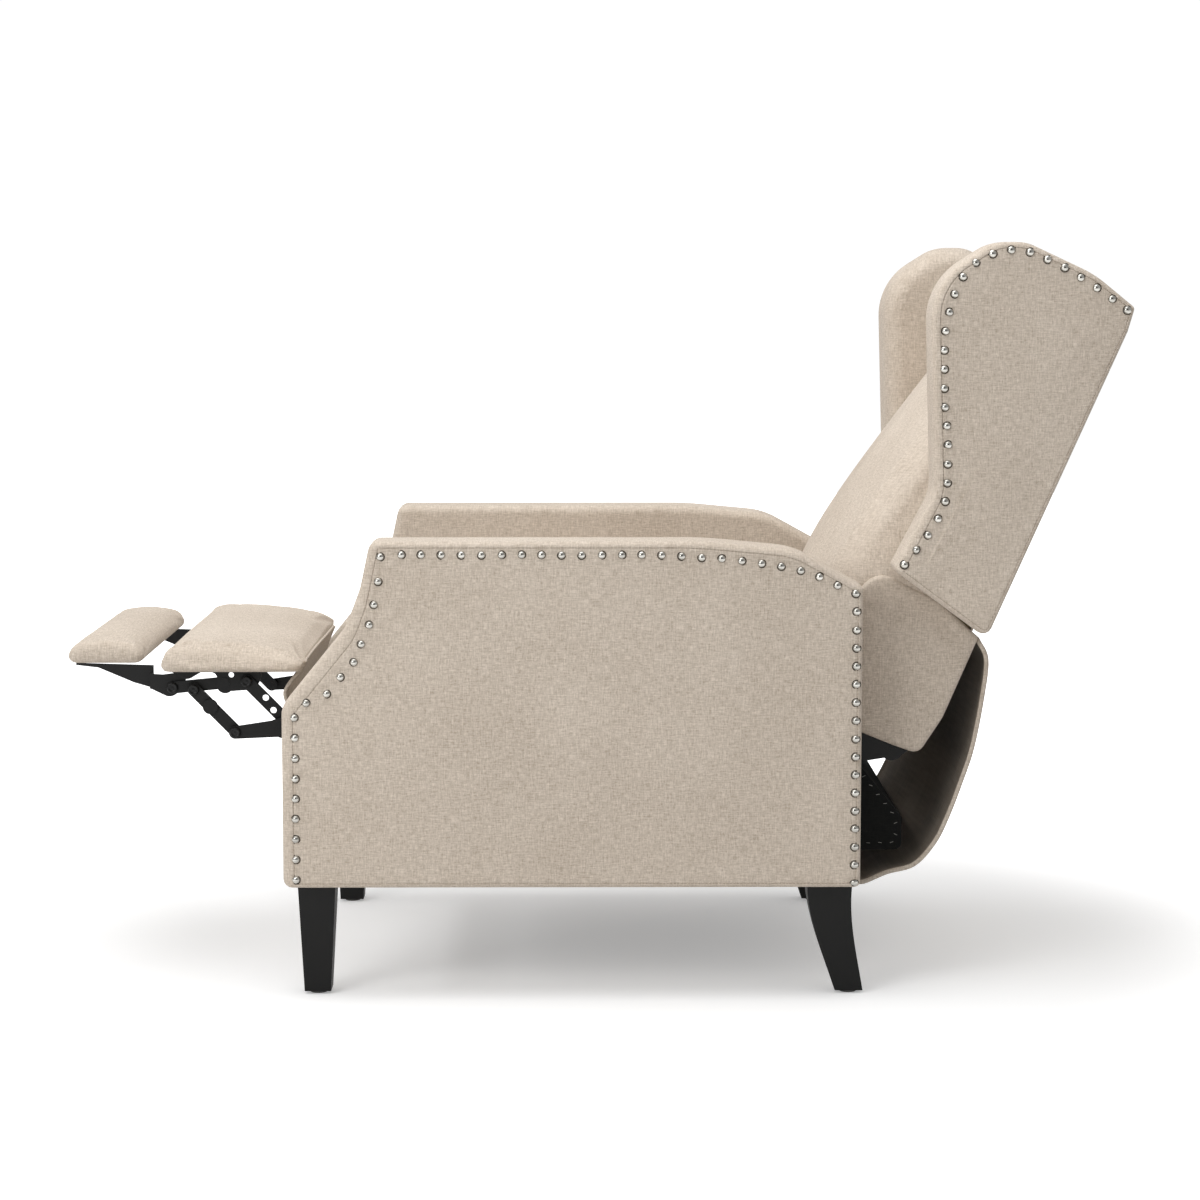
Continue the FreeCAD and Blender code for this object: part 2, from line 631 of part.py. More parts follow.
for name, side in SIDES:
    span = math.hypot(PIVOT_B[0] - PIVOT_F[0], PIVOT_B[1] - PIVOT_F[1])
    rear_bar = bar_body("footrest_rear_bar_" + name, side, PLANE_CROSS, "plate_thick", PIVOT_Q, PIVOT_D,
                        bar_half, (0.0, 1.0))
    bore(rear_bar, "rear_holes_" + name, [(0.34 * span, 2.0), (0.58 * span, -2.5)], -1.0,
         size("plate_thick") + 1.0, "Dims.hole_radius")
    front_bar = bar_body("footrest_front_bar_" + name, side, PLANE_CROSS, "plate_thick", PIVOT_F, PIVOT_B,
                         bar_half, (0.0, 1.0))
    low, high = at_side(side, PLANE_CROSS, PLANE_CROSS + size("plate_thick"))
    inner, outer = at_side(side, PLANE_CROSS + size("plate_thick"), PLANE_CROSS + size("plate_thick") + 4)
    pin(front_bar, "stop_bolt_" + name, 0.6 * span, 0, inner - low, outer - inner, "Dims.bolt_radius")

for name, side in SIDES:
    low, high = at_side(side, PLANE_BRACKET, PLANE_BRACKET + size("plate_thick"))
    steps = [
        (-396, 424), ("line", (-396, 421)), ("line", (-440, 420)), ("arc", (-446, 401), (-458, 396)),
        ("line", (-480, 394.5)), ("arc", (-494, 393.5), (-499, 404)), ("line", (-498, 411)),
        ("arc", (-501, 418), (-508, 420)), ("line", (-520, 420)), ("line", (-531, 413.5)),
        ("arc", (-540, 411), (-549, 415)), ("line", (-560, 421)), ("line", (-560, 424)),
    ]
    bracket = outline_body("footrest_bracket_" + name, steps, low, "plate_thick")
    bore(bracket, "bracket_hole_" + name, [(-479.3, 418.0 - 1.5)], -1.0, size("plate_thick") + 1.0,
         "Dims.hole_radius - 0.6")
    for label, y, z, near, far, radius in (
            ("pin_d", PIVOT_D[0], PIVOT_D[1], BRACKET_FAR, CROSS_FAR, "Dims.pin_radius"),
            ("head_d", PIVOT_D[0], PIVOT_D[1], CROSS_FAR, CROSS_FAR + size("head_tall"), "Dims.rivet_radius"),
            ("head_c", PIVOT_C[0], PIVOT_C[1], BRACKET_FAR, PLANE_CROSS - gap, "Dims.rivet_radius")):
        inner, outer = at_side(side, near, far)
        pin(bracket, "%s_%s" % (label, name), y, z, inner - low, outer - inner, radius)
    low, high = at_side(side, PLANE_BAR, PLANE_BAR + size("plate_thick"))
    span = math.hypot(PIVOT_C[0] - PIVOT_A[0], PIVOT_C[1] - PIVOT_A[1])
    bar = bar_body("footrest_bar_" + name, side, PLANE_BAR, "plate_thick", PIVOT_A, PIVOT_C, 8.0, ())
    turn = math.degrees(math.atan2(PIVOT_C[1] - PIVOT_A[1], PIVOT_C[0] - PIVOT_A[0]))
    local = FreeCAD.Rotation(V3(0, 0, 1), -turn).multVec(V3(PIVOT_B[0] - PIVOT_A[0], PIVOT_B[1] - PIVOT_A[1], 0))
    for label, y, z, near, far, radius in (
            ("pin_b", local.x, local.y, PLANE_BRACKET, CROSS_FAR, "Dims.pin_radius"),
            ("head_b", local.x, local.y, CROSS_FAR, CROSS_FAR + size("head_tall"), "Dims.rivet_radius"),
            ("head_a", 0, 0, PLANE_BRACKET, PLANE_BRACKET + size("head_tall"), "Dims.rivet_radius"),
            ("pin_a", 0, 0, NOSE_NEAR, PLANE_BAR, "Dims.pin_radius"),
            ("back_a", 0, 0, NOSE_NEAR - size("head_tall"), NOSE_NEAR, "Dims.rivet_radius")):
        inner, outer = at_side(side, near, far)
        pin(bar, "%s_%s" % (label, name), y, z, inner - low, outer - inner, radius)

box_node("footrest_board", (-BRACKET_FAR, -556, 424), (2 * BRACKET_FAR, 162, "Dims.board_thick"))
pad_low = 424 + size("board_thick") + size("washer_gap")
cushion_node("footrest_pad", -474.5, size("main_pad_half"), 90.5,
             rolled_levels(pad_low, pad_low + 28, 6.5, 9.0, 17.0, 60.0), 30.0, 2.0)
FLAP = [(-393.7, 429.8), (-393.4, 412), (-397, 396), (-400, 382), (-396, 370), (-385, 364)]
outline_body("footrest_flap", sheet_steps(FLAP, size("flap_thick")), -size("flap_half"), 2 * size("flap_half"))

for name, side in SIDES:
    low, high = at_side(side, PLANE_NOSE, PLANE_NOSE + size("plate_thick"))
    a_y, a_z = PIVOT_A
    steps = [
        (-567 - a_y, 387 - a_z), ("arc", (-556 - a_y, 388.5 - a_z), (-549 - a_y, 397 - a_z)),
        ("line", (-541 - a_y, 409 - a_z)), ("line", (-543 - a_y, 418 - a_z)), ("line", (-552 - a_y, 418.5 - a_z)),
        ("line", (-572 - a_y, 416 - a_z)), ("line", (-588 - a_y, 417 - a_z)), ("line", (-588 - a_y, 397 - a_z)),
    ]
    plate = outline_body("flipper_bracket_" + name, steps, low, "plate_thick", PIVOT_A)
    bore(plate, "flipper_bore_" + name, [(0, 0)], -1.0, size("plate_thick") + 1.0, HOLE)
    sketch = new_sketch(plate, "flipper_plate_%s" % name, "YZ_Plane", at_side(side, PLANE_FLIP, 0)[0] - low
                        if side > 0 else -(PLANE_FLIP + size("plate_thick")) - low)
    web = [
        (-586 - a_y, 396 - a_z), ("line", (-586 - a_y, 427 - a_z)), ("line", (-690 - a_y, 430.2 - a_z)),
        ("line", (-690 - a_y, 427.5 - a_z)), ("line", (-660 - a_y, 424 - a_z)), ("line", (-613 - a_y, 404 - a_z)),
    ]
    sketch.addGeometry(edges_from(web), False)
    pad(plate, sketch, "flipper_web_%s" % name, "plate_thick")
    inner, outer = at_side(side, PLANE_FLIP, PLANE_NOSE + size("plate_thick"))
    sketch = new_sketch(plate, "flipper_jog_%s" % name, "YZ_Plane", inner - low)
    jog = [
        (-589.5 - a_y, 397 - a_z), ("line", (-586 - a_y, 397 - a_z)), ("line", (-586 - a_y, 417 - a_z)),
        ("line", (-589.5 - a_y, 417 - a_z)),
    ]
    sketch.addGeometry(edges_from(jog), False)
    pad(plate, sketch, "flipper_step_%s" % name, outer - inner)
flip_half = PLANE_FLIP + 2.0
box_node("flipper_board", (-flip_half, -691, 430.2), (2 * flip_half, 82, "Dims.board_thick"))
flip_low = 430.2 + size("board_thick") + size("washer_gap")
cushion_node("flipper_pad", -651.2, size("flip_pad_half"), 48.0,
             rolled_levels(flip_low, flip_low + 24, 5.0, 7.0, 14.0, 34.0), 26.0, 1.5)

# Check every piece, then write it
doc.recompute()
for obj in doc.Objects:
    if "Invalid" in obj.State or "Error" in obj.State:
        raise RuntimeError("failed: %s %s" % (obj.Label, obj.State))
total = 0
for obj in nodes:
    if obj.Shape.isNull() or not obj.Shape.isValid() or len(obj.Shape.Solids) != 1:
        raise RuntimeError("bad shape: %s %d solids" % (obj.Label, len(obj.Shape.Solids)))
    obj.Shape.exportStep("parts/%s.step" % obj.Label)
    total += 1
print("wrote", total, "pieces")
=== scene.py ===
import math

import bmesh
import bpy
from mathutils import Matrix, Vector
from mathutils.bvhtree import BVHTree


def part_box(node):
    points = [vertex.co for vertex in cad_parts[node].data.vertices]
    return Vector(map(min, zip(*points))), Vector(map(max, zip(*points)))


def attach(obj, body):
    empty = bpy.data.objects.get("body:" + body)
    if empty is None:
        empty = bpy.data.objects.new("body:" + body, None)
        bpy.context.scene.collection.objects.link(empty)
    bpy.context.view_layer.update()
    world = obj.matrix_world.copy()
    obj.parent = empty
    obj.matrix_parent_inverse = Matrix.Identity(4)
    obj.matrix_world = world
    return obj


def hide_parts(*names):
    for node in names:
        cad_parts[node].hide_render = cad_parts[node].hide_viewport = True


# Looks of the push-back wing recliner. Outlines and positions are written in millimetres and the
# helpers turn them into Blender's metres. +Z is up, the chair faces -Y, the camera looks from +X.

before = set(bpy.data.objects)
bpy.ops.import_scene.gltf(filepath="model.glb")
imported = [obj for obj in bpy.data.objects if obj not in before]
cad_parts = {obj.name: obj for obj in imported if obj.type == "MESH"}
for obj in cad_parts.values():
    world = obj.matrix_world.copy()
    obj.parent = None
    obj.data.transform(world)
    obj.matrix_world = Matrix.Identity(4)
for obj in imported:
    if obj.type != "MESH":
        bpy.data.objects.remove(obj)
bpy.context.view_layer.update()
MM = 0.001
SIDES = (("left", 1), ("right", -1))


def low_mm(node):
    return Vector(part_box(node)[0]) / MM


def high_mm(node):
    return Vector(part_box(node)[1]) / MM


# Camera: where the photograph was taken from
camera_data = bpy.data.cameras.new("photo_view")
camera_data.lens = 86.86
camera_data.sensor_width = 36.0
camera = bpy.data.objects.new("photo_view", camera_data)
camera.location = (4.075, -0.01136, 0.93603)
camera.rotation_euler = (math.radians(83.791), 0.0, math.radians(89.6065))
bpy.context.scene.collection.objects.link(camera)
bpy.context.scene.camera = camera
bpy.context.scene.view_settings.view_transform = "Standard"


# Small node-graph helper
class Graph:
    def __init__(self, name):
        self.material = bpy.data.materials.new(name)
        self.material.use_nodes = True
        self.tree = self.material.node_tree
        self.tree.nodes.clear()
        self.out = self.add("ShaderNodeOutputMaterial")

    def add(self, kind, **values):
        node = self.tree.nodes.new(kind)
        for key, value in values.items():
            if hasattr(node, key):
                setattr(node, key, value)
            else:
                node.inputs[key.replace("_", " ")].default_value = value
        return node

    def link(self, source, target):
        self.tree.links.new(source, target)

    def math(self, operation, first, second=None, third=None):
        node = self.tree.nodes.new("ShaderNodeMath")
        node.operation = operation
        for number, value in enumerate((first, second, third)):
            if value is None:
                continue
            if isinstance(value, (int, float)):
                node.inputs[number].default_value = value
            else:
                self.link(value, node.inputs[number])
        return node.outputs[0]

    def noise(self, vector, scale, detail=2.0, roughness=0.5):
        node = self.add("ShaderNodeTexNoise", Scale=scale, Detail=detail, Roughness=roughness)
        self.link(vector, node.inputs["Vector"])
        return node.outputs["Fac"]

    def combine(self, x, y):
        node = self.add("ShaderNodeCombineXYZ")
        self.link(x, node.inputs[0])
        self.link(y, node.inputs[1])
        return node.outputs[0]

    def ramp(self, source, stops):
        node = self.add("ShaderNodeValToRGB")
        elements = node.color_ramp.elements
        while len(elements) < len(stops):
            elements.new(0.5)
        for element, (place, colour) in zip(elements, stops):
            element.position = place
            element.color = (*colour, 1.0)
        self.link(source, node.inputs["Fac"])
        return node.outputs["Color"]

    def bump(self, height, distance, strength):
        node = self.add("ShaderNodeBump", Strength=strength, Distance=distance)
        self.link(height, node.inputs["Height"])
        return node.outputs["Normal"]

    def surface(self, **values):
        node = self.tree.nodes.new("ShaderNodeBsdfPrincipled")
        for key, value in values.items():
            node.inputs[key.replace("_", " ")].default_value = value
        self.link(node.outputs[0], self.out.inputs["Surface"])
        return node


def linear(red, green, blue):
    made = []
    for value in (red, green, blue):
        part = value / 255.0
        made.append(part / 12.92 if part < 0.04045 else ((part + 0.055) / 1.055) ** 2.4)
    return tuple(made)


# Woven cloth: threads and slubs laid on the three planes and mixed by how the surface faces
PLANE_SHARPNESS = 5.0
FINE_REACH = 0.3
FINE_SHARE = 0.45
WEAVE_SHARE = 0.25
CLOUD_SCALE = 7.0
TONE_SPREAD = 0.13
RELIEF_STRENGTH = 0.55


def cloth(name, dark, light, thread, slub_wide, slub_long, depth, mottle, fuzz=0.1):
    graph = Graph(name)
    coordinates = graph.add("ShaderNodeTexCoord")
    place = graph.add("ShaderNodeSeparateXYZ")
    graph.link(coordinates.outputs["Object"], place.inputs[0])
    facing = graph.add("ShaderNodeSeparateXYZ")
    graph.link(coordinates.outputs["Normal"], facing.inputs[0])
    weights = []
    for axis in range(3):
        straight = graph.math("ABSOLUTE", facing.outputs[axis])
        weights.append(graph.math("POWER", straight, PLANE_SHARPNESS))
    whole = graph.math("ADD", graph.math("ADD", weights[0], weights[1]), weights[2])
    tone_sum = None
    relief_sum = None

    def streaks(u, v, wide, reach):
        # noise drawn out along the second direction, like a thick thread
        narrow = graph.math("MULTIPLY", u, 1.0 / wide)
        drawn_out = graph.math("MULTIPLY", v, 1.0 / reach)
        return graph.noise(graph.combine(narrow, drawn_out), 1.0, 1.0, 0.55)

    def crossed(u, v, wide, reach):
        return graph.math("ADD", streaks(u, v, wide, reach), streaks(v, u, wide, reach))

    for axis, (across, upward) in enumerate(((1, 2), (0, 2), (0, 1))):
        u = place.outputs[across]
        v = place.outputs[upward]
        turn = 2 * math.pi / thread
        warp = graph.math("SINE", graph.math("MULTIPLY", u, turn))
        weft = graph.math("SINE", graph.math("MULTIPLY", v, turn))
        weave = graph.math("MULTIPLY", warp, weft)
        slubs = crossed(u, v, slub_wide, slub_long)
        fine = crossed(u, v, thread, FINE_REACH * slub_long)
        coarse_tone = graph.math("MULTIPLY", slubs, 1.0 - FINE_SHARE)
        tone_here = graph.math("MULTIPLY_ADD", fine, FINE_SHARE, coarse_tone)
        relief_here = graph.math("MULTIPLY_ADD", weave, WEAVE_SHARE, graph.math("ADD", slubs, fine))
        share = graph.math("DIVIDE", weights[axis], whole)
        tone_part = graph.math("MULTIPLY", tone_here, share)
        relief_part = graph.math("MULTIPLY", relief_here, share)
        tone_sum = tone_part if axis == 0 else graph.math("ADD", tone_sum, tone_part)
        relief_sum = relief_part if axis == 0 else graph.math("ADD", relief_sum, relief_part)
    cloud = graph.noise(coordinates.outputs["Object"], CLOUD_SCALE, 2.0, 0.5)
    tone = graph.math("MULTIPLY_ADD", cloud, mottle, graph.math("MULTIPLY", tone_sum, 0.5))
    middle = 0.5 + 0.5 * mottle
    colour = graph.ramp(tone, ((middle - TONE_SPREAD, dark), (middle + TONE_SPREAD, light)))
    surface = graph.surface(Roughness=0.92, Specular_IOR_Level=0.22, Sheen_Weight=fuzz,
                            Sheen_Roughness=0.5)
    graph.link(colour, surface.inputs["Base Color"])
    graph.link(graph.bump(relief_sum, depth, RELIEF_STRENGTH), surface.inputs["Normal"])
    return graph.material


# Hard finishes: a base colour broken up by fine noise, with relief and uneven gloss from the same noise
def finish(name, dark, light, gloss, metal, grain, relief, stretch=(1.0, 1.0, 1.0)):
    graph = Graph(name)
    coordinates = graph.add("ShaderNodeTexCoord")
    mapping = graph.add("ShaderNodeMapping")
    mapping.inputs["Scale"].default_value = stretch
    graph.link(coordinates.outputs["Object"], mapping.inputs["Vector"])
    fine = graph.noise(mapping.outputs[0], grain, 4.0, 0.6)
    broad = graph.noise(mapping.outputs[0], grain * 0.08, 2.0, 0.5)
    mixed = graph.math("MULTIPLY_ADD", broad, 0.6, graph.math("MULTIPLY", fine, 0.4))
    colour = graph.ramp(mixed, ((0.35, dark), (0.65, light)))
    surface = graph.surface(Metallic=metal, Specular_IOR_Level=0.25)
    rough = graph.math("MULTIPLY_ADD", mixed, 0.16, gloss - 0.08)
    graph.link(colour, surface.inputs["Base Color"])
    graph.link(rough, surface.inputs["Roughness"])
    graph.link(graph.bump(fine, relief, 0.35), surface.inputs["Normal"])
    return graph.material


LINEN = cloth("linen_beige", linear(173, 159, 143), linear(219, 207, 193), thread=0.0009,
              slub_wide=0.0018, slub_long=0.014, depth=0.0005, mottle=0.12)
SEAM = cloth("linen_seam", linear(146, 132, 116), linear(180, 166, 149), thread=0.0006,
             slub_wide=0.002, slub_long=0.006, depth=0.0002, mottle=0.2)
CAMBRIC = cloth("dust_cambric", linear(8, 9, 8), linear(22, 23, 22), thread=0.0011,
                slub_wide=0.002, slub_long=0.02, depth=0.0003, mottle=0.2, fuzz=0.02)
THREAD = cloth("pale_thread", linear(96, 96, 92), linear(150, 150, 146), thread=0.0006,
               slub_wide=0.001, slub_long=0.004, depth=0.0001, mottle=0.2)
LINING = cloth("flap_lining", linear(112, 102, 90), linear(140, 129, 115), thread=0.0008,
               slub_wide=0.004, slub_long=0.09, depth=0.0002, mottle=0.5)
LACQUER = finish("black_lacquer", linear(6, 6, 5), linear(11, 11, 10), gloss=0.5, metal=0.0,
                 grain=220.0, relief=0.0001, stretch=(1.0, 1.0, 0.12))
STEEL = finish("black_steel", linear(7, 7, 7), linear(16, 16, 15), gloss=0.52, metal=0.0,
               grain=420.0, relief=0.00015)
RIVET = finish("black_rivet", linear(12, 12, 12), linear(30, 30, 30), gloss=0.36, metal=0.2,
               grain=500.0, relief=0.0001)
NAIL = finish("nail_silver", linear(158, 156, 150), linear(196, 194, 188), gloss=0.2, metal=1.0,
              grain=700.0, relief=0.00005)
# dark brown ring under each nail head: painted shadow and painted dark reflection round the nail's foot, not
# a colour of the nail
NAIL_SHADOW_RING = finish("nail_painted_shadow", linear(48, 42, 34), linear(74, 66, 56), gloss=0.6, metal=0.0,
                  grain=500.0, relief=0.00005)
WOOD = finish("frame_pine", linear(158, 138, 110), linear(194, 174, 144), gloss=0.7, metal=0.0,
              grain=90.0, relief=0.0004, stretch=(0.12, 1.0, 1.0))
GLIDE = finish("glide_grey", linear(96, 94, 90), linear(128, 126, 122), gloss=0.5, metal=0.0,
               grain=300.0, relief=0.0001)


# Outlines: corners are (across, up, radius), joined by straight runs and tangent arcs
def outline_counts(corners, step):
    count = len(corners)
    runs = []
    arcs = []
    for k in range(count):
        here = Vector(corners[k][:2])
        before = Vector(corners[k - 1][:2]) - here
        after = Vector(corners[(k + 1) % count][:2]) - here
        turn = math.pi - before.angle(after)
        arcs.append(max(4, round(corners[k][2] * turn / step)))
        runs.append(max(2, round(after.length / step)))
    return runs, arcs


def inset_loop(corners, inset, step, minimum=1.5):
    # a closed loop of points, the outline moved inwards by one inset or by one inset per side, always
    # with the same number of points
    count = len(corners)
    points = [Vector(c[:2]) for c in corners]
    area = sum(points[k - 1].cross(points[k]) for k in range(count))
    spin = 1.0 if area > 0 else -1.0
    ways = [(points[(k + 1) % count] - points[k]).normalized() for k in range(count)]
    inward = [Vector((-w.y, w.x)) * spin for w in ways]
    depth = inset if isinstance(inset, list) else [inset] * count
    moved = []
    radii = []
    for k in range(count):
        before, after = inward[k - 1], inward[k]
        a, b = depth[k - 1], depth[k]
        cross = before.cross(after)
        if abs(cross) < 1e-6:
            shift = after * b
        else:
            shift = Vector(((a * after.y - b * before.y) / cross, (b * before.x - a * after.x) / cross))
        moved.append(points[k] + shift)
        convex = ways[k - 1].cross(ways[k]) * spin > 0
        change = -max(a, b) if convex else min(a, b)
        radii.append(max(corners[k][2] + change, minimum))
    runs, arcs = outline_counts(corners, step)
    loop = []
    bends = []
    for k in range(count):
        before = (moved[k - 1] - moved[k]).normalized()
        after = (moved[(k + 1) % count] - moved[k]).normalized()
        half = before.angle(after) / 2
        reach = radii[k] / math.tan(half)
        start = moved[k] + before * reach
        stop = moved[k] + after * reach
        middle = (before + after).normalized()
        centre = moved[k] + middle * (radii[k] / math.sin(half))
        arc = []
        first = start - centre
        turn = first.angle_signed(stop - centre) * -1.0
        for n in range(arcs[k] + 1):
            arc.append(centre + Matrix.Rotation(turn * n / arcs[k], 2) @ first)
        bends.append(arc)
    for k in range(count):
        loop.extend(bends[k])
        run_start = bends[k][-1]
        run_stop = bends[(k + 1) % count][0]
        for n in range(1, runs[k]):
            loop.append(run_start.lerp(run_stop, n / runs[k]))
    return loop


def smooth_step(value, low, high):
    t = min(1.0, max(0.0, (value - low) / (high - low)))
    return t * t * (3 - 2 * t)


def new_object(name, mesh, material):
    obj = bpy.data.objects.new(name, mesh)
    bpy.context.scene.collection.objects.link(obj)
    mesh.materials.append(material)
    return obj


def shade(mesh):
    for polygon in mesh.polygons:
        polygon.use_smooth = True


def stack(name, rings, material):
    # rings of points in millimetres, all with the same count, skinned into one closed form
    graph = bmesh.new()
    made = [[graph.verts.new(Vector(p) * MM) for p in ring] for ring in rings]
    count = len(rings[0])
    for a, b in zip(made, made[1:]):
        for k in range(count):
            n = (k + 1) % count
            graph.faces.new((a[k], a[n], b[n], b[k]))
    for ring in (made[0], made[-1]):
        middle = sum((v.co for v in ring), Vector()) / count
        hub = graph.verts.new(middle)
        for k in range(count):
            graph.faces.new((ring[k], ring[(k + 1) % count], hub))
    bmesh.ops.recalc_face_normals(graph, faces=graph.faces)
    mesh = bpy.data.meshes.new(name)
    graph.to_mesh(mesh)
    graph.free()
    shade(mesh)
    return new_object(name, mesh, material)


def surface_tree(obj):
    graph = bmesh.new()
    graph.from_mesh(obj.data)
    tree = BVHTree.FromBMesh(graph)
    graph.free()
    return tree


# Padded slab, such as an arm or a wing: two crowned faces, rolled edges and a seam round the outer face.
# The steps are shares of the way from the middle of a face to its edge, or of the depth of a seam, and
# PAST_SEAM holds the distance inside the seam with the height there.
SLAB_STEP = 6.0
ROLL_DEPTH = 10.0
FACE_REACH = 24.0
FACE_STEPS = (0.04, 0.12, 0.22, 0.34, 0.46, 0.58, 0.7, 0.8, 0.88, 0.95)
PAST_SEAM = ((24.0, 0.8), (19.0, 0.7), (15.0, 0.6), (11.5, 0.5), (8.0, 0.4), (5.0, 0.3), (2.6, 0.2),
             (1.3, 0.0), (0.5, -0.7), (0.0, -0.9))
ROLL_STEPS = (0.97, 0.93, 0.87, 0.78, 0.66, 0.53, 0.4, 0.28, 0.17, 0.08, 0.02, 0.0)
INNER_STEPS = (1.0, 0.9, 0.78, 0.64, 0.5, 0.36, 0.22, 0.1)
INNER_CROWN = 1.5
CROWN_POWER = 2.2
EDGE_SWELL = 0.4
NAIL_PULL = 1.0
PULL_REACH = 22.36
PULL_SPREAD = 70.0


def slab(name, corners, side, x_in, x_out, roll_in, deep, seams, crown, centre, nails):
    rings = []

    def add(inset, x):
        rings.append([(side * x, p.x, p.y) for p in inset_loop(corners, inset, SLAB_STEP)])

    hub = Vector(centre)
    edge = inset_loop(corners, [s + FACE_REACH for s in seams], SLAB_STEP)
    for t in FACE_STEPS:
        lift = crown * (1 - t ** CROWN_POWER) + PAST_SEAM[0][1]
        rings.append([(side * (x_out + lift), *(hub + (p - hub) * t)) for p in edge])
    for past, lift in PAST_SEAM:
        add([s + past for s in seams], x_out + lift)
    for part in ROLL_STEPS:
        drop = ROLL_DEPTH * (1 - math.sqrt(1 - (1 - part) ** 2))
        dip = 0.6 * math.exp(-((1 - part) / 0.03) ** 2)
        add([s * part for s in seams], x_out + 0.2 - dip - drop)
    first = x_out - ROLL_DEPTH
    span = first - (x_in + deep)
    for n in range(1, 8):
        add(-EDGE_SWELL * math.sin(math.pi * n / 8), first - span * n / 8)
    for n in range(8):
        angle = math.radians(90 * n / 7)
        add(roll_in * (1 - math.cos(angle)), x_in + deep * (1 - math.sin(angle)))
    inner = inset_loop(corners, roll_in + 4.0, SLAB_STEP)
    for t in INNER_STEPS:
        lift = INNER_CROWN * (1 - t ** CROWN_POWER)
        rings.append([(side * (x_in - lift), *(hub + (p - hub) * t)) for p in inner])
    obj = stack(name, rings, LINEN)
    for vertex in obj.data.vertices:
        if vertex.co.x * side < (x_out - 4) * MM:
            continue
        for y, z in nails:
            gap = (vertex.co.y / MM - y) ** 2 + (vertex.co.z / MM - z) ** 2
            if gap < PULL_REACH ** 2:
                vertex.co.x -= side * MM * NAIL_PULL * math.exp(-gap / PULL_SPREAD)
    return obj


# Seam stitches: short threads laid end to end along a loop and pressed into the cloth
STITCH_GAP = 4.6
STITCH_LENGTH = 2.9
STITCH_THICK = 0.42
STITCH_FORM = ((-0.5, 0.4), (-0.25, 1.0), (0.25, 1.0), (0.5, 0.4))
PROBE_X = 0.5


def stitch_row(name, cloth_piece, side, loop, body):
    tree = surface_tree(cloth_piece)
    graph = bmesh.new()
    path = [Vector(p) for p in loop] + [Vector(loop[0])]
    places = along(path, STITCH_GAP)
    for number, (y, z) in enumerate(places[:-1]):
        after = Vector(places[number + 1])
        way = Vector((0, after.x - y, after.y - z))
        if way.length < 0.1:
            continue
        way.normalize()
        probe = Vector((side * PROBE_X, y * MM, z * MM))
        spot, up, _, _ = tree.ray_cast(probe, Vector((-side, 0, 0)))
        if spot is None:
            continue
        across = up.cross(way).normalized()
        ends = []
        for reach, wide in STITCH_FORM:
            ring = []
            radius = STITCH_THICK * wide
            for k in range(6):
                angle = math.pi * k / 3
                local = across * math.cos(angle) * radius + up * (math.sin(angle) * radius + 0.15)
                ring.append(graph.verts.new(spot + (way * reach * STITCH_LENGTH + local) * MM))
            ends.append(ring)
        for a, b in zip(ends, ends[1:]):
            for k in range(6):
                n = (k + 1) % 6
                graph.faces.new((a[k], a[n], b[n], b[k]))
        graph.faces.new(list(reversed(ends[0])))
        graph.faces.new(ends[-1])
    mesh = bpy.data.meshes.new(name)
    bmesh.ops.recalc_face_normals(graph, faces=graph.faces)
    graph.to_mesh(mesh)
    graph.free()
    shade(mesh)
    row = new_object(name, mesh, SEAM)
    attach(row, body)


# Decorative nails: one domed head, copied along a path and pressed against the cloth. The lowest bands of
# each head form a flat dark brown ring round its foot, a painted shadow and painted dark reflection where the
# nail meets the cloth
DOME = ((6.4, 0.0), (6.3, 0.5), (5.8, 0.6), (5.2, 0.65), (5.15, 1.2), (4.7, 2.3), (3.8, 3.3), (2.6, 4.0),
        (1.3, 4.4))
DOME_TIP = 4.5
DOME_SIDES = 18
SHADOW_RING_BANDS = 3


def along(points, gap):
    # evenly spaced places along a path of straight runs, close to the gap asked for
    points = [Vector(p) for p in points]
    lengths = [(b - a).length for a, b in zip(points, points[1:])]
    total = sum(lengths)
    count = max(1, round(total / gap))
    made = []
    for n in range(count + 1):
        left = total * n / count
        for a, b, length in zip(points, points[1:], lengths):
            if left <= length + 1e-9:
                made.append(tuple(a.lerp(b, left / length)))
                break
            left -= length
    return made


def nail_row(name, cloth_piece, side, places, body):
    tree = surface_tree(cloth_piece)
    graph = bmesh.new()
    for number, (y, z) in enumerate(places):
        start = Vector((side * PROBE_X, y * MM, z * MM))
        spot, normal, _, _ = tree.ray_cast(start, Vector((-side, 0, 0)))
        if spot is None:
            continue
        lean = Vector((0, 0.05 * math.sin(7.3 * number), 0.05 * math.cos(5.1 * number)))
        turn = (normal + lean).normalized().to_track_quat("Z", "Y").to_matrix().to_4x4()
        place = Matrix.Translation(spot - normal * 0.0003) @ turn
        rings = []
        for radius, height in DOME:
            ring = []
            for k in range(DOME_SIDES):
                angle = 2 * math.pi * k / DOME_SIDES
                local = Vector((radius * math.cos(angle), radius * math.sin(angle), height)) * MM
                ring.append(graph.verts.new(place @ local))
            rings.append(ring)
        for band, (a, b) in enumerate(zip(rings, rings[1:])):
            for k in range(DOME_SIDES):
                n = (k + 1) % DOME_SIDES
                face = graph.faces.new((a[k], a[n], b[n], b[k]))
                # the lowest bands of the head carry the painted shadow ring
                face.material_index = 1 if band < SHADOW_RING_BANDS else 0
        tip = graph.verts.new(place @ Vector((0, 0, DOME_TIP * MM)))
        for k in range(DOME_SIDES):
            graph.faces.new((rings[-1][k], rings[-1][(k + 1) % DOME_SIDES], tip))
        graph.faces.new(list(reversed(rings[0])))
    mesh = bpy.data.meshes.new(name)
    graph.to_mesh(mesh)
    graph.free()
    shade(mesh)
    row = new_object(name, mesh, NAIL)
    mesh.materials.append(NAIL_SHADOW_RING)
    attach(row, body)


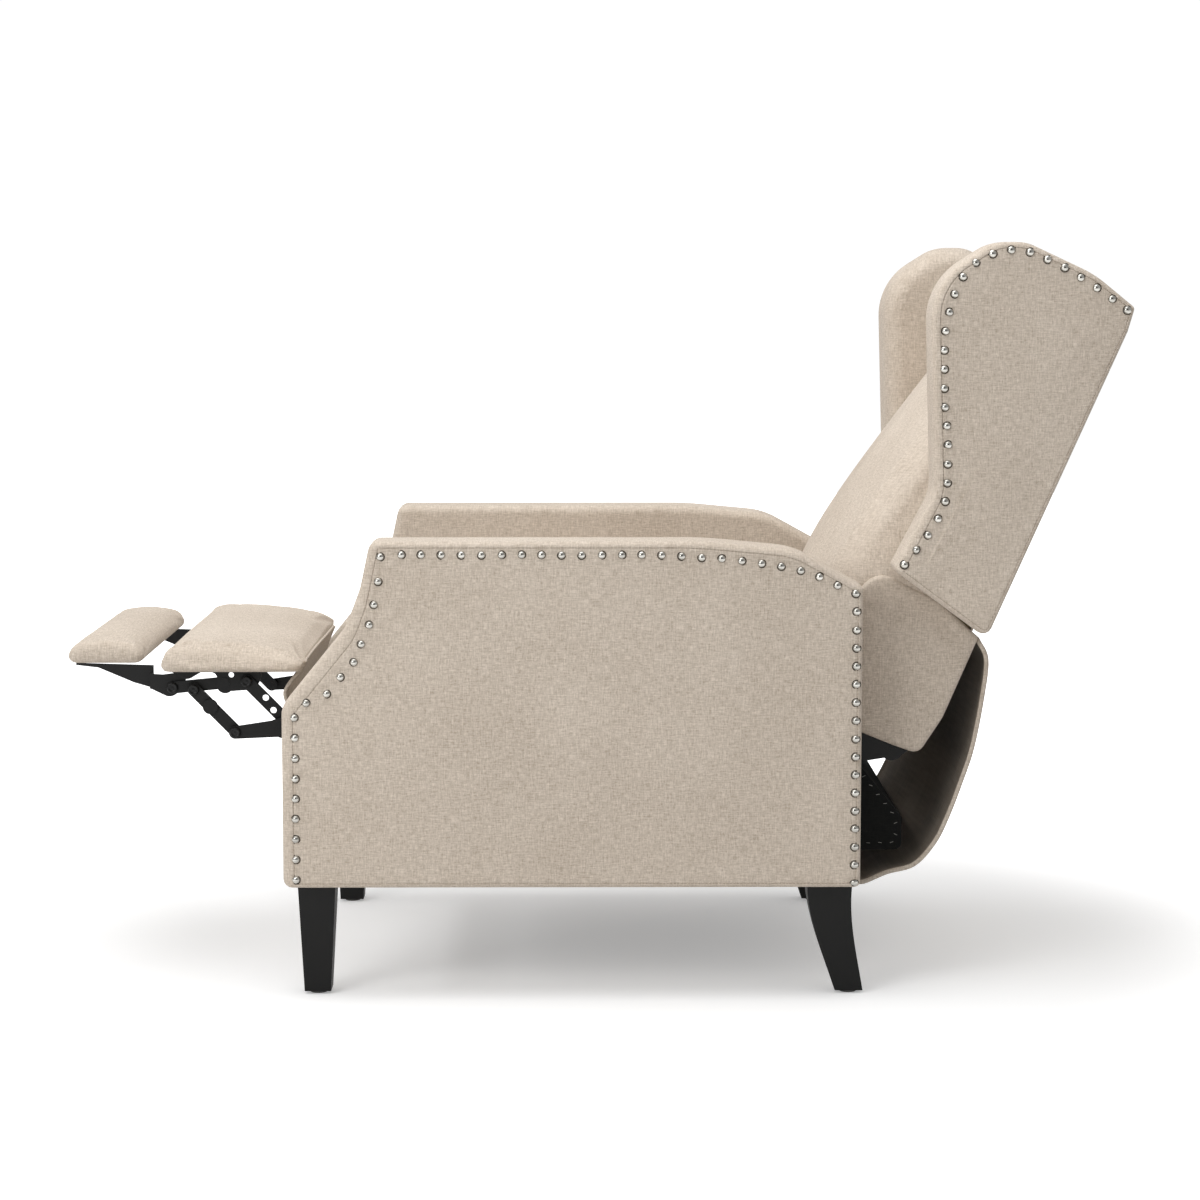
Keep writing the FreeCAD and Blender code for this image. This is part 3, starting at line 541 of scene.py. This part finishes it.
# Arms
arm_in = low_mm("arm_left").x
arm_out = high_mm("arm_left").x
arm_top = high_mm("arm_left").z
arm_low = low_mm("arm_left").z
arm_front = low_mm("arm_left").y
arm_back = high_mm("arm_left").y
ARM = [
    (arm_front, arm_low, 12), (arm_front, 389, 30), (-316, 494, 60), (-297, 545, 90), (-284, arm_top, 14),
    (150, arm_top, 500), (267, arm_top - 11, 110), (arm_back, arm_top - 60, 8), (arm_back, arm_low, 8),
]
ARM_SEAMS = [15.0, 18.0, 15.5, 12.5, 8.0, 9.0, 9.0, 6.0, 6.0]
FRONT_NAILS = [(-383.6, 162), (-383, 350), (-383.8, 376)]
SCOOP_NAILS = [(-368, 395.2), (-341.2, 407.6), (-323.4, 429.6), (-305.2, 449), (-295.4, 473),
               (-284.9, 497.6), (-278.6, 524.3), (-273.2, 554.6), (-270.2, 586.4)]
REAR_NAILS = [(346.1, 538.4), (347.6, 516.9), (348, 443), (347.5, 157)]
TOP_NAILS = [(-243, 589), (100, 588.5), (180, 583), (233.1, 576.3), (260.3, 572.4), (283.7, 565.8),
             (307.1, 556.7), (325.3, 546.9), (346.1, 538.4)]
ARM_ROLL_IN = 12.0
ARM_MIDDLE = (-20, 370)
SLAB_CROWN = 2.5
arm_nails = along(FRONT_NAILS, 25.5) + SCOOP_NAILS
arm_nails += along(TOP_NAILS, 26.5)[:-1] + along(REAR_NAILS, 24.2)
for name, side in SIDES:
    arm = slab("arm_cover_" + name, ARM, side, arm_in, arm_out, ARM_ROLL_IN, ARM_ROLL_IN, ARM_SEAMS,
               SLAB_CROWN, ARM_MIDDLE, arm_nails)
    arm_seam = inset_loop(ARM, ARM_SEAMS, SLAB_STEP)
    stitch_row("arm_stitches_" + name, arm, side, arm_seam, "base")
    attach(arm, "base")
    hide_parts("arm_" + name)
    nail_row("arm_nails_" + name, arm, side, arm_nails, "base")

# Wings
wing_in = low_mm("wing_left").x
wing_out = high_mm("wing_left").x
WING = [
    (396, 568, 8), (448, 668, 60), (439.5, 940, 90), (520, 991, 60), (562, 991, 50), (650, 950, 150),
    (703, 907, 6), (694, 876, 20), (518, 478, 12),
]
WING_SEAMS = [11.0, 11.0, 9.0, 7.0, 7.0, 6.0, 5.0, 5.0, 6.0]
WING_NAILS = [
    (409, 575.5), (423, 594), (441, 616), (453, 636.5), (463, 664), (464, 737), (458, 790), (457, 866),
    (461, 891), (467, 916), (474, 937), (486, 956), (501, 969), (523, 978), (546, 981), (571, 977),
    (611, 958), (652, 932), (692, 904),
]
WING_ROLL_IN = 26.0
WING_ROLL_DEEP = 40.0
WING_MIDDLE = (548, 790)
wing_nails = along(WING_NAILS, 24.5)
for name, side in SIDES:
    wing = slab("wing_cover_" + name, WING, side, wing_in, wing_out, WING_ROLL_IN, WING_ROLL_DEEP,
                WING_SEAMS, SLAB_CROWN, WING_MIDDLE, wing_nails)
    wing_seam = inset_loop(WING, WING_SEAMS, SLAB_STEP)
    stitch_row("wing_stitches_" + name, wing, side, wing_seam, "back")
    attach(wing, "back")
    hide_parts("wing_" + name)
    nail_row("wing_nails_" + name, wing, side, wing_nails, "back")


# Loose and fixed cushions: rings of a rounded rectangle at rising heights
def cushion(name, centre_y, half_x, half_y, low, shoulder, crown, roll_low, roll_top, corner, step=9.0,
            bulge=2.0, fall=0.0, ridge=0.0):
    # fall lowers the top away from the ridge, which is given from -1 at the front to +1 at the rear
    shape = [(-half_x, centre_y - half_y, corner), (half_x, centre_y - half_y, corner),
             (half_x, centre_y + half_y, corner), (-half_x, centre_y + half_y, corner)]
    rings = []
    hub = Vector((0.0, centre_y))
    tall = shoulder - roll_top - low - roll_low

    def settle(x, y, z):
        # the higher a point is, the more it follows the fall of the top
        away = (y - centre_y) / half_y - ridge
        return (x, y, z - fall * away * away * smooth_step(z, low + roll_low, shoulder))

    def add(inset, z):
        rings.append([settle(p.x, p.y, z) for p in inset_loop(shape, inset, step)])

    base = inset_loop(shape, roll_low + 2, step)
    for t in (0.1, 0.4, 0.7, 0.9):
        rings.append([(*(hub + (p - hub) * t), low) for p in base])
    for n in range(5):
        angle = math.radians(90 * n / 4)
        add(roll_low * (1 - math.sin(angle)), low + roll_low * (1 - math.cos(angle)))
    for n in range(1, 5):
        add(-bulge * math.sin(math.pi * n / 5), low + roll_low + tall * n / 5)
    for n in range(8):
        angle = math.radians(90 * n / 7)
        add(roll_top * (1 - math.cos(angle)), shoulder - roll_top * (1 - math.sin(angle)))
    top = inset_loop(shape, roll_top + 3, step)
    for t in (1.0, 0.96, 0.9, 0.82, 0.72, 0.6, 0.47, 0.33, 0.2, 0.08):
        spots = [hub + (p - hub) * t for p in top]
        rings.append([settle(p.x, p.y, shoulder + crown * (1 - t ** 2.6)) for p in spots])
    return stack(name, rings, LINEN)


def puff(obj, pressure, cap, voxel, stays):
    # the cover swells like stuffed cloth, apart from the points for which stays() is true
    remesh = obj.modifiers.new("even", "REMESH")
    remesh.mode = "VOXEL"
    remesh.voxel_size = voxel
    bpy.context.view_layer.objects.active = obj
    bpy.ops.object.modifier_apply(modifier="even")
    start = [v.co.copy() for v in obj.data.vertices]
    held = obj.vertex_groups.new(name="held")
    held.add([v.index for v in obj.data.vertices if stays(v.co)], 1.0, "REPLACE")
    swell = obj.modifiers.new("swell", "CLOTH")
    swell.settings.use_pressure = True
    swell.settings.uniform_pressure_force = pressure
    swell.settings.effector_weights.gravity = 0.0
    swell.settings.vertex_group_mass = "held"
    scene = bpy.context.scene
    for number in range(1, 21):
        scene.frame_set(number)
    bpy.ops.object.modifier_apply(modifier="swell")
    scene.frame_set(1)
    obj.vertex_groups.clear()
    for vertex, place in zip(obj.data.vertices, start):
        move = vertex.co - place
        if move.length > cap:
            vertex.co = place + move.normalized() * cap
    smooth = obj.modifiers.new("finer", "SUBSURF")
    smooth.levels = 1
    smooth.render_levels = 1
    shade(obj.data)


seat_low = low_mm("seat_cushion")
seat_high = high_mm("seat_cushion")
SEAT_SIDE_GAP = 5.0
SEAT_END_GAP = 11.0
SEAT_HELD = 6.0
seat = cushion("seat_pad", centre_y=(seat_low.y + seat_high.y) / 2 + 5, half_x=seat_high.x - SEAT_SIDE_GAP,
               half_y=(seat_high.y - seat_low.y) / 2 - SEAT_END_GAP, low=seat_low.z,
               shoulder=seat_low.z + 70, crown=8, roll_low=10, roll_top=20, corner=30)
puff(seat, pressure=4.0, cap=0.010, voxel=0.006, stays=lambda spot: spot.z < (seat_low.z + SEAT_HELD) * MM)
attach(seat, "seat")
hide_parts("seat_cushion")

# The footrest pads wrap round their boards
pad_low = low_mm("footrest_board")
pad_high = high_mm("footrest_pad")
PAD_HELD = 5.0
foot_pad = cushion("foot_pad", centre_y=-475, half_x=pad_high.x + 1, half_y=95, low=pad_low.z,
                   shoulder=pad_low.z + 35, crown=4, roll_low=7, roll_top=17, corner=14, step=7.0,
                   bulge=1.5, fall=7.0, ridge=-0.6)
puff(foot_pad, pressure=4.0, cap=0.004, voxel=0.005, stays=lambda spot: spot.z < (pad_low.z + PAD_HELD) * MM)
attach(foot_pad, "footrest")
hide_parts("footrest_pad", "footrest_board")

flip_low = low_mm("flipper_board")
flip_high = high_mm("flipper_pad")
flip_pad = cushion("flip_pad", centre_y=-650, half_x=flip_high.x + 1, half_y=50, low=flip_low.z,
                   shoulder=flip_low.z + 31, crown=4, roll_low=6, roll_top=13, corner=12, step=6.0,
                   bulge=1.2, fall=8.0)
puff(flip_pad, pressure=4.0, cap=0.004, voxel=0.005, stays=lambda spot: spot.z < (flip_low.z + PAD_HELD) * MM)
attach(flip_pad, "flipper")
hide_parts("flipper_pad", "flipper_board")

# Back: everything is drawn upright and then tilted about the rear hinge
HINGE = Vector((0.0, 407.0, 318.0))
TILT = Matrix.Rotation(math.radians(-23.1), 3, "X")


def tilted(x, y, z):
    return tuple(TILT @ Vector((x, y, z)) + HINGE)


def curve_through(points, steps):
    # a smooth line through the points
    points = [Vector(p) for p in points]
    padded = [points[0] * 2 - points[1]] + points + [points[-1] * 2 - points[-2]]
    line = []
    for a, b, c, d in zip(padded, padded[1:], padded[2:], padded[3:]):
        for n in range(steps):
            t = n / steps
            line.append(0.5 * ((2 * b) + (c - a) * t + (2 * a - 5 * b + 4 * c - d) * t * t
                               + (3 * b - a - 3 * c + d) * t * t * t))
    line.append(points[-1])
    return line


# Back cushion: its front line is swept from side to side, set back towards the sides and rounded at them
BACK_FRONT = [(-150, 66), (-184, 120), (-186, 200), (-168, 310), (-130, 470), (-104, 570), (-78, 628),
              (-40, 652), (-4, 651)]
BACK_FOOT = 66
BACK_CROWN = 20
CROWN_ROUND = 1.4
SIDE_SET_BACK = 29
SIDE_ROOM = 8
ROUND_SHARE = 0.16
ROUND_DEPTH = 0.16
END_DROP = 0.35
REAR_TOP = 638
REAR_Y = -2
FRONT_Y = -3
STATIONS = [-1.0, -0.995, -0.98, -0.955, -0.92, -0.88, -0.82, -0.74, -0.62, -0.48, -0.32, -0.16, 0.0]
STATIONS += [-s for s in reversed(STATIONS[:-1])]
back_half = high_mm("back_cushion").x - SIDE_ROOM
back_line = curve_through(BACK_FRONT, 7)
rings = []
for place in STATIONS:
    near = max(0.0, (abs(place) - (1 - ROUND_SHARE)) / ROUND_SHARE)
    shrink = ROUND_DEPTH * (1 - math.sqrt(max(0.0, 1 - near * near)))
    set_back = SIDE_SET_BACK - BACK_CROWN * (1 - abs(place) ** CROWN_ROUND)
    x = place * back_half
    ring = []
    for point in back_line:
        share = smooth_step(point.y, BACK_FOOT, 140) * (1 - smooth_step(point.y, 600, 650))
        y = FRONT_Y + (point.x - FRONT_Y) * (1 - shrink) + set_back * share
        z = BACK_FOOT + (point.y - BACK_FOOT) * (1 - shrink * END_DROP)
        ring.append(tilted(x, y, z))
    rear_top = BACK_FOOT + (REAR_TOP - BACK_FOOT) * (1 - shrink * END_DROP)
    for n in range(1, 12):
        ring.append(tilted(x, REAR_Y, rear_top + (BACK_FOOT - rear_top) * n / 12))
    ring.append(tilted(x, REAR_Y, BACK_FOOT))
    foot_y = back_line[0].x * (1 - shrink)
    for n in range(1, 6):
        ring.append(tilted(x, REAR_Y + (foot_y - REAR_Y) * n / 6, BACK_FOOT))
    rings.append(ring)
back_pad = stack("back_pad", rings, LINEN)
RISE = TILT.inverted()
HELD_BEHIND = -14
HELD_BELOW = 74


def behind_front(spot):
    # the rear and the underside of the back cushion lie on the frame
    local = RISE @ (spot / MM - HINGE)
    return local.y > HELD_BEHIND or local.z < HELD_BELOW


puff(back_pad, pressure=4.0, cap=0.006, voxel=0.007, stays=behind_front)
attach(back_pad, "back")
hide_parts("back_cushion")

# Outside back: a panel with a rolled edge, narrow between the lower side covers, and a lip over the top
panel_half = 261.0
panel_low = low_mm("back_side_left").x - 0.5
PANEL = [(-panel_low, 22, 6), (panel_low, 22, 6), (panel_low, 192, 2), (panel_half, 192, 4),
         (panel_half, 658, 8), (-panel_half, 658, 8), (-panel_half, 192, 4), (-panel_low, 192, 2)]
PANEL_STEP = 12
PANEL_EDGE = ((22, 30.5), (4, 30.5), (0, 31.5), (0, 33.0), (1, 34.6), (3, 35.4), (8, 35.8), (16, 36.2))
PANEL_FACE = 36.4
PANEL_MIDDLE = 340.0
rings = []
for inset, y in PANEL_EDGE:
    rings.append([tilted(p.x, y, p.y) for p in inset_loop(PANEL, inset, PANEL_STEP)])
edge = inset_loop(PANEL, 24, PANEL_STEP)
for t in (1.0, 0.9, 0.78, 0.64, 0.5, 0.36, 0.22, 0.08):
    rings.append([tilted(p.x * t, PANEL_FACE, PANEL_MIDDLE + (p.y - PANEL_MIDDLE) * t) for p in edge])
panel = stack("outside_back", rings, LINEN)
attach(panel, "back")
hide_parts("back_panel")

# Top band that closes the back between the cushion and the outside panel
BAND = [(-6, 640.5, 2), (-6, 652, 4), (31, 658, 3), (31, 640.5, 2)]
band_rings = []
for across in (-panel_half, -panel_half + 2, -180, -90, 0, 90, 180, panel_half - 2, panel_half):
    end_inset = 1.5 if abs(across) == panel_half else 0.0
    band_rings.append([tilted(across, p.x, p.y) for p in inset_loop(BAND, end_inset, 3)])
band = stack("back_top_band", band_rings, LINEN)
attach(band, "back")

# Lower sides of the back: smooth covered panels that run from the cushion down to the rounded foot
SIDE_COVER = [(340, 352, 6), (404, 326, 40), (440, 313, 15), (472, 362, 60), (518, 469, 4),
              (470, 517, 6), (384, 560, 30), (300, 470, 20)]
COVER_MIDDLE = Vector((430, 430))
cover_in = low_mm("back_side_left").x + 1
cover_out = high_mm("back_cushion").x + 1.2
COVER_EDGE = ((8, cover_in), (2, cover_in), (0, cover_in + 2), (0, cover_out - 6), (1.2, cover_out - 3),
              (3.5, cover_out - 1.1), (7, cover_out - 0.3), (14, cover_out))
for name, side in SIDES:
    cover_rings = []
    for inset, x in COVER_EDGE:
        cover_rings.append([(side * x, p.x, p.y) for p in inset_loop(SIDE_COVER, inset, 8)])
    rim = [Vector(p[1:]) for p in cover_rings[-1]]
    for t in (0.85, 0.7, 0.55, 0.4, 0.25, 0.1):
        x = side * (cover_out + 1.2 * (1 - t))
        cover_rings.append([(x, *(COVER_MIDDLE + (p - COVER_MIDDLE) * t)) for p in rim])
    cover = stack("back_cover_" + name, cover_rings, LINEN)
    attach(cover, "back")
    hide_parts("back_side_" + name)

# Rear flap: cloth outside, smooth dark lining inside, hanging from the back down to the base rail. Its far
# edge hangs closer to the seat than the near edge.
SKIRT = [(354.5, 137), (370, 136), (401, 149), (438, 160), (466, 191), (484, 228), (502, 277), (516, 322),
         (528, 388), (533, 440), (520, 469)]
SKIRT_FAR = [(354.5, 150), (370, 149), (395, 151), (418, 162), (438, 188), (456, 222), (476, 270), (498, 320),
             (520, 388), (531, 440), (520, 469)]
skirt_half = high_mm("rear_flap").x


def strip(name, near, far, half, thick, outside, inside, columns=40):
    # a bent sheet with two skins between a line at +X and one at -X; the inside skin lies on the left of
    # the lines' direction and the two side edges are turned in as a thin hem
    points = [Vector(p) for p in near]
    others = [Vector(p) for p in far]
    last = len(points) - 1
    grid = []
    for row in (0.0, 1.0):
        rows = []
        for k in range(last + 1):
            way = (points[min(k + 1, last)] - points[max(k - 1, 0)]).normalized()
            left = Vector((-way.y, way.x))
            place = []
            for c in range(columns + 1):
                across = -math.cos(math.pi * c / columns)
                share = smooth_step(across, -1.0, 0.6)
                hem = 1.0 + 0.5 * smooth_step(abs(across), 0.95, 0.97)
                spot = others[k].lerp(points[k], share) + left * (thick * row * hem)
                place.append((across * half, spot.x, spot.y))
            rows.append(place)
        grid.append(rows)
    graph = bmesh.new()
    skins = [[[graph.verts.new(Vector(p) * MM) for p in row] for row in skin] for skin in grid]
    for number, skin in enumerate(skins):
        for a, b in zip(skin, skin[1:]):
            for c in range(columns):
                quad = (a[c], a[c + 1], b[c + 1], b[c])
                face = graph.faces.new(quad if number else tuple(reversed(quad)))
                face.material_index = number
    outer, inner = skins
    for c in range(columns):
        graph.faces.new((outer[0][c], outer[0][c + 1], inner[0][c + 1], inner[0][c]))
        graph.faces.new((outer[last][c + 1], outer[last][c], inner[last][c], inner[last][c + 1]))
    for c in (0, columns):
        for k in range(last):
            graph.faces.new((outer[k + 1][c], outer[k][c], inner[k][c], inner[k + 1][c]))
    bmesh.ops.recalc_face_normals(graph, faces=graph.faces)
    mesh = bpy.data.meshes.new(name)
    graph.to_mesh(mesh)
    graph.free()
    shade(mesh)
    obj = new_object(name, mesh, outside)
    mesh.materials.append(inside)
    return obj


skirt_line = curve_through(SKIRT, 6)
skirt_far_line = curve_through(SKIRT_FAR, 6)
skirt = strip("rear_skirt", skirt_line, skirt_far_line, skirt_half, 4.0, LINEN, LINING)
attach(skirt, "rear_flap")
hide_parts("rear_flap")

# Cloth flap that hangs from the rear edge of the main pad
FLAP = [(-381, 437), (-388, 424), (-400, 411), (-409, 396), (-408, 383), (-401, 370), (-398, 358)]
FLAP_FAR = [(-381, 431), (-386, 419), (-392, 402), (-398, 386), (-405, 370), (-412, 360), (-420, 350)]
flap_half = 228.0
flap_line = curve_through(FLAP, 6)
flap_far_line = curve_through(FLAP_FAR, 6)
flap = strip("foot_flap", flap_line, flap_far_line, flap_half, 3.0, LINEN, LINEN)
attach(flap, "footrest")
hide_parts("footrest_flap")

# Rivet heads on the footrest bars: round caps with a raised ring, on the flat heads of the frame's pins
CAP = ((7.4, -0.6), (7.4, 0.5), (7.0, 1.3), (6.0, 1.9), (4.9, 2.0), (4.3, 1.5), (2.6, 1.45), (1.2, 1.7))
CAP_SIDES = 24
PIVOTS = {
    "a": (-558.6, 398.8, 223.6, "footrest"),
    "b": (-529.3, 397.4, 231.3, "footrest"),
    "d": (-458.2, 408.4, 231.3, "footrest"),
    "f": (-473.5, 340.2, 239.0, "lower_bars"),
    "q": (-402.4, 351.2, 239.0, "lower_bars"),
}


def rivet(name, x, y, z, side, body):
    graph = bmesh.new()
    rings = []
    for radius, height in CAP:
        ring = []
        for k in range(CAP_SIDES):
            angle = 2 * math.pi * k / CAP_SIDES
            spot = (side * (x + height), y + radius * math.cos(angle), z + radius * math.sin(angle))
            ring.append(graph.verts.new(Vector(spot) * MM))
        rings.append(ring)
    for a, b in zip(rings, rings[1:]):
        for k in range(CAP_SIDES):
            n = (k + 1) % CAP_SIDES
            graph.faces.new((a[k], a[n], b[n], b[k]))
    graph.faces.new(rings[0])
    graph.faces.new(rings[-1])
    bmesh.ops.recalc_face_normals(graph, faces=graph.faces)
    mesh = bpy.data.meshes.new(name)
    graph.to_mesh(mesh)
    graph.free()
    shade(mesh)
    cap = new_object(name, mesh, RIVET)
    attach(cap, body)


for label, (y, z, x, body) in PIVOTS.items():
    for name, side in SIDES:
        rivet("rivet_%s_%s" % (label, name), x, y, z, side, body)

# Staples along the edges of the dark box under the rear of the seat
STAPLES = [(340, 284), (366, 284), (413, 224), (413, 190), (345, 188)]
STAPLE_SIZE = (0.0012, 0.005, 0.0009, 1.0)
for name, side in SIDES:
    graph = bmesh.new()
    box_tree = surface_tree(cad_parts["seat_rear_box"])
    for y, z in along(STAPLES, 16.0):
        probe = Vector((side * PROBE_X, y * MM, z * MM))
        spot, _, _, _ = box_tree.ray_cast(probe, Vector((-side, 0, 0)))
        if spot is None:
            continue
        turn = Matrix.Rotation(0.5 * math.sin(y + z), 4, "X")
        place = Matrix.Translation(spot) @ turn @ Matrix.Diagonal(STAPLE_SIZE)
        made = bmesh.ops.create_cube(graph, size=1.0, matrix=place)
        edges = list({e for v in made["verts"] for e in v.link_edges})
        bmesh.ops.bevel(graph, geom=edges, offset=0.0002, segments=1, affect="EDGES")
    mesh = bpy.data.meshes.new("box_staples_" + name)
    graph.to_mesh(mesh)
    graph.free()
    staples = new_object("box_staples_" + name, mesh, THREAD)
    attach(staples, "seat")

# Finishes of the pieces that come from the frame
FINISHES = {
    "leg_": LACQUER,
    "glide_": GLIDE,
    "base_rail": WOOD,
    "base_side_rail": WOOD,
    "base_rail_front": LINEN,
    "seat_front": LINEN,
    "seat_side": WOOD,
    "seat_rear_rail": WOOD,
    "seat_deck": CAMBRIC,
    "seat_rear_box": CAMBRIC,
    "back_post": WOOD,
    "back_rail": WOOD,
}
REPLACED = ("arm_", "wing_", "back_cushion", "back_panel", "back_side", "rear_flap", "seat_cushion",
            "footrest_pad", "flipper_pad", "footrest_flap", "footrest_board", "flipper_board")
for node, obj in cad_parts.items():
    if node.startswith(REPLACED):
        continue
    matches = [start for start in FINISHES if node.startswith(start)]
    chosen = FINISHES[max(matches, key=len)] if matches else STEEL
    obj.data.materials.clear()
    obj.data.materials.append(chosen)
    for polygon in obj.data.polygons:
        polygon.material_index = 0
    soft_edge = obj.modifiers.new("soft_edge", "BEVEL")
    soft_edge.width = 0.0012 if chosen in (LACQUER, WOOD, CAMBRIC) else 0.0004
    soft_edge.segments = 2
    soft_edge.limit_method = "ANGLE"
    soft_edge.angle_limit = math.radians(35)

# Floor: pale, and to the camera it fades to white away from the chair
FLOOR_HALF = 9.0
FADE_FROM = 0.7
FADE_TO = 1.4
GLOW_NEAR = 0.3
GLOW_FAR = 1.0
floor_mesh = bpy.data.meshes.new("floor")
floor_corners = [(x * FLOOR_HALF, y * FLOOR_HALF, 0) for x, y in ((-1, -1), (1, -1), (1, 1), (-1, 1))]
floor_mesh.from_pydata(floor_corners, [], [(0, 1, 2, 3)])
floor_graph = Graph("floor_white")
rays = floor_graph.add("ShaderNodeLightPath")
seen = floor_graph.math("MAXIMUM", rays.outputs["Is Camera Ray"], rays.outputs["Is Glossy Ray"])
seen = floor_graph.math("MAXIMUM", seen, rays.outputs["Is Transmission Ray"])
matt = floor_graph.add("ShaderNodeBsdfDiffuse")
matt.inputs["Color"].default_value = (0.8, 0.8, 0.8, 1)
glow = floor_graph.add("ShaderNodeEmission")
floor_place = floor_graph.add("ShaderNodeTexCoord")
floor_reach = floor_graph.add("ShaderNodeVectorMath", operation="LENGTH")
floor_graph.link(floor_place.outputs["Object"], floor_reach.inputs[0])
away = floor_graph.add("ShaderNodeMapRange", interpolation_type="SMOOTHSTEP")
away.inputs["From Min"].default_value = FADE_FROM
away.inputs["From Max"].default_value = FADE_TO
away.inputs["To Min"].default_value = GLOW_NEAR
away.inputs["To Max"].default_value = GLOW_FAR
floor_graph.link(floor_reach.outputs["Value"], away.inputs["Value"])
floor_graph.link(floor_graph.math("MULTIPLY", seen, away.outputs[0]), glow.inputs["Strength"])
both = floor_graph.add("ShaderNodeAddShader")
floor_graph.link(matt.outputs[0], both.inputs[0])
floor_graph.link(glow.outputs[0], both.inputs[1])
floor_graph.link(both.outputs[0], floor_graph.out.inputs["Surface"])
floor = new_object("floor", floor_mesh, floor_graph.material)

# World: even white light, darker in one direction on the +X side as a room is, and white to the camera
WORLD_LIGHT = 0.57
WORLD_EXTRA_SEEN = 0.45
DARK_FROM = 0.86
DARK_TO = 0.95
DARK_SHARE = 0.06
world = bpy.data.worlds.new("studio")
world.use_nodes = True
world_tree = world.node_tree
world_tree.nodes.clear()
world_out = world_tree.nodes.new("ShaderNodeOutputWorld")
world_back = world_tree.nodes.new("ShaderNodeBackground")
world_back.inputs["Color"].default_value = (1, 1, 1, 1)
world_rays = world_tree.nodes.new("ShaderNodeLightPath")
seen_any = world_tree.nodes.new("ShaderNodeMath")
seen_any.operation = "MAXIMUM"
world_tree.links.new(world_rays.outputs["Is Camera Ray"], seen_any.inputs[0])
world_tree.links.new(world_rays.outputs["Is Transmission Ray"], seen_any.inputs[1])
world_mix = world_tree.nodes.new("ShaderNodeMath")
world_mix.operation = "MULTIPLY_ADD"
world_tree.links.new(seen_any.outputs[0], world_mix.inputs[0])
world_mix.inputs[1].default_value = WORLD_EXTRA_SEEN
world_mix.inputs[2].default_value = WORLD_LIGHT
world_way = world_tree.nodes.new("ShaderNodeTexCoord")
world_parts = world_tree.nodes.new("ShaderNodeSeparateXYZ")
world_tree.links.new(world_way.outputs["Generated"], world_parts.inputs[0])
world_side = world_tree.nodes.new("ShaderNodeMapRange")
world_side.interpolation_type = "SMOOTHSTEP"
world_side.inputs["From Min"].default_value = DARK_FROM
world_side.inputs["From Max"].default_value = DARK_TO
world_side.inputs["To Min"].default_value = 1.0
world_side.inputs["To Max"].default_value = DARK_SHARE
world_tree.links.new(world_parts.outputs[0], world_side.inputs["Value"])
world_final = world_tree.nodes.new("ShaderNodeMath")
world_final.operation = "MULTIPLY"
world_tree.links.new(world_mix.outputs[0], world_final.inputs[0])
world_tree.links.new(world_side.outputs[0], world_final.inputs[1])
world_tree.links.new(world_final.outputs[0], world_back.inputs["Strength"])
world_tree.links.new(world_back.outputs[0], world_out.inputs["Surface"])
bpy.context.scene.world = world


# Lamps: a large soft one above and a smaller one in front
def lamp(name, place, target, width, height, power):
    data = bpy.data.lights.new(name, "AREA")
    data.shape = "RECTANGLE"
    data.size = width
    data.size_y = height
    data.energy = power
    obj = bpy.data.objects.new(name, data)
    obj.location = place
    aim = Vector(target) - Vector(place)
    obj.rotation_euler = aim.to_track_quat("-Z", "Y").to_euler()
    bpy.context.scene.collection.objects.link(obj)


lamp("top_light", place=(0.3, -0.4, 3.0), target=(0.0, 0.0, 0.4), width=2.6, height=2.6, power=60)
lamp("front_light", place=(2.8, -2.2, 1.9), target=(0.0, 0.0, 0.5), width=1.8, height=1.6, power=42)
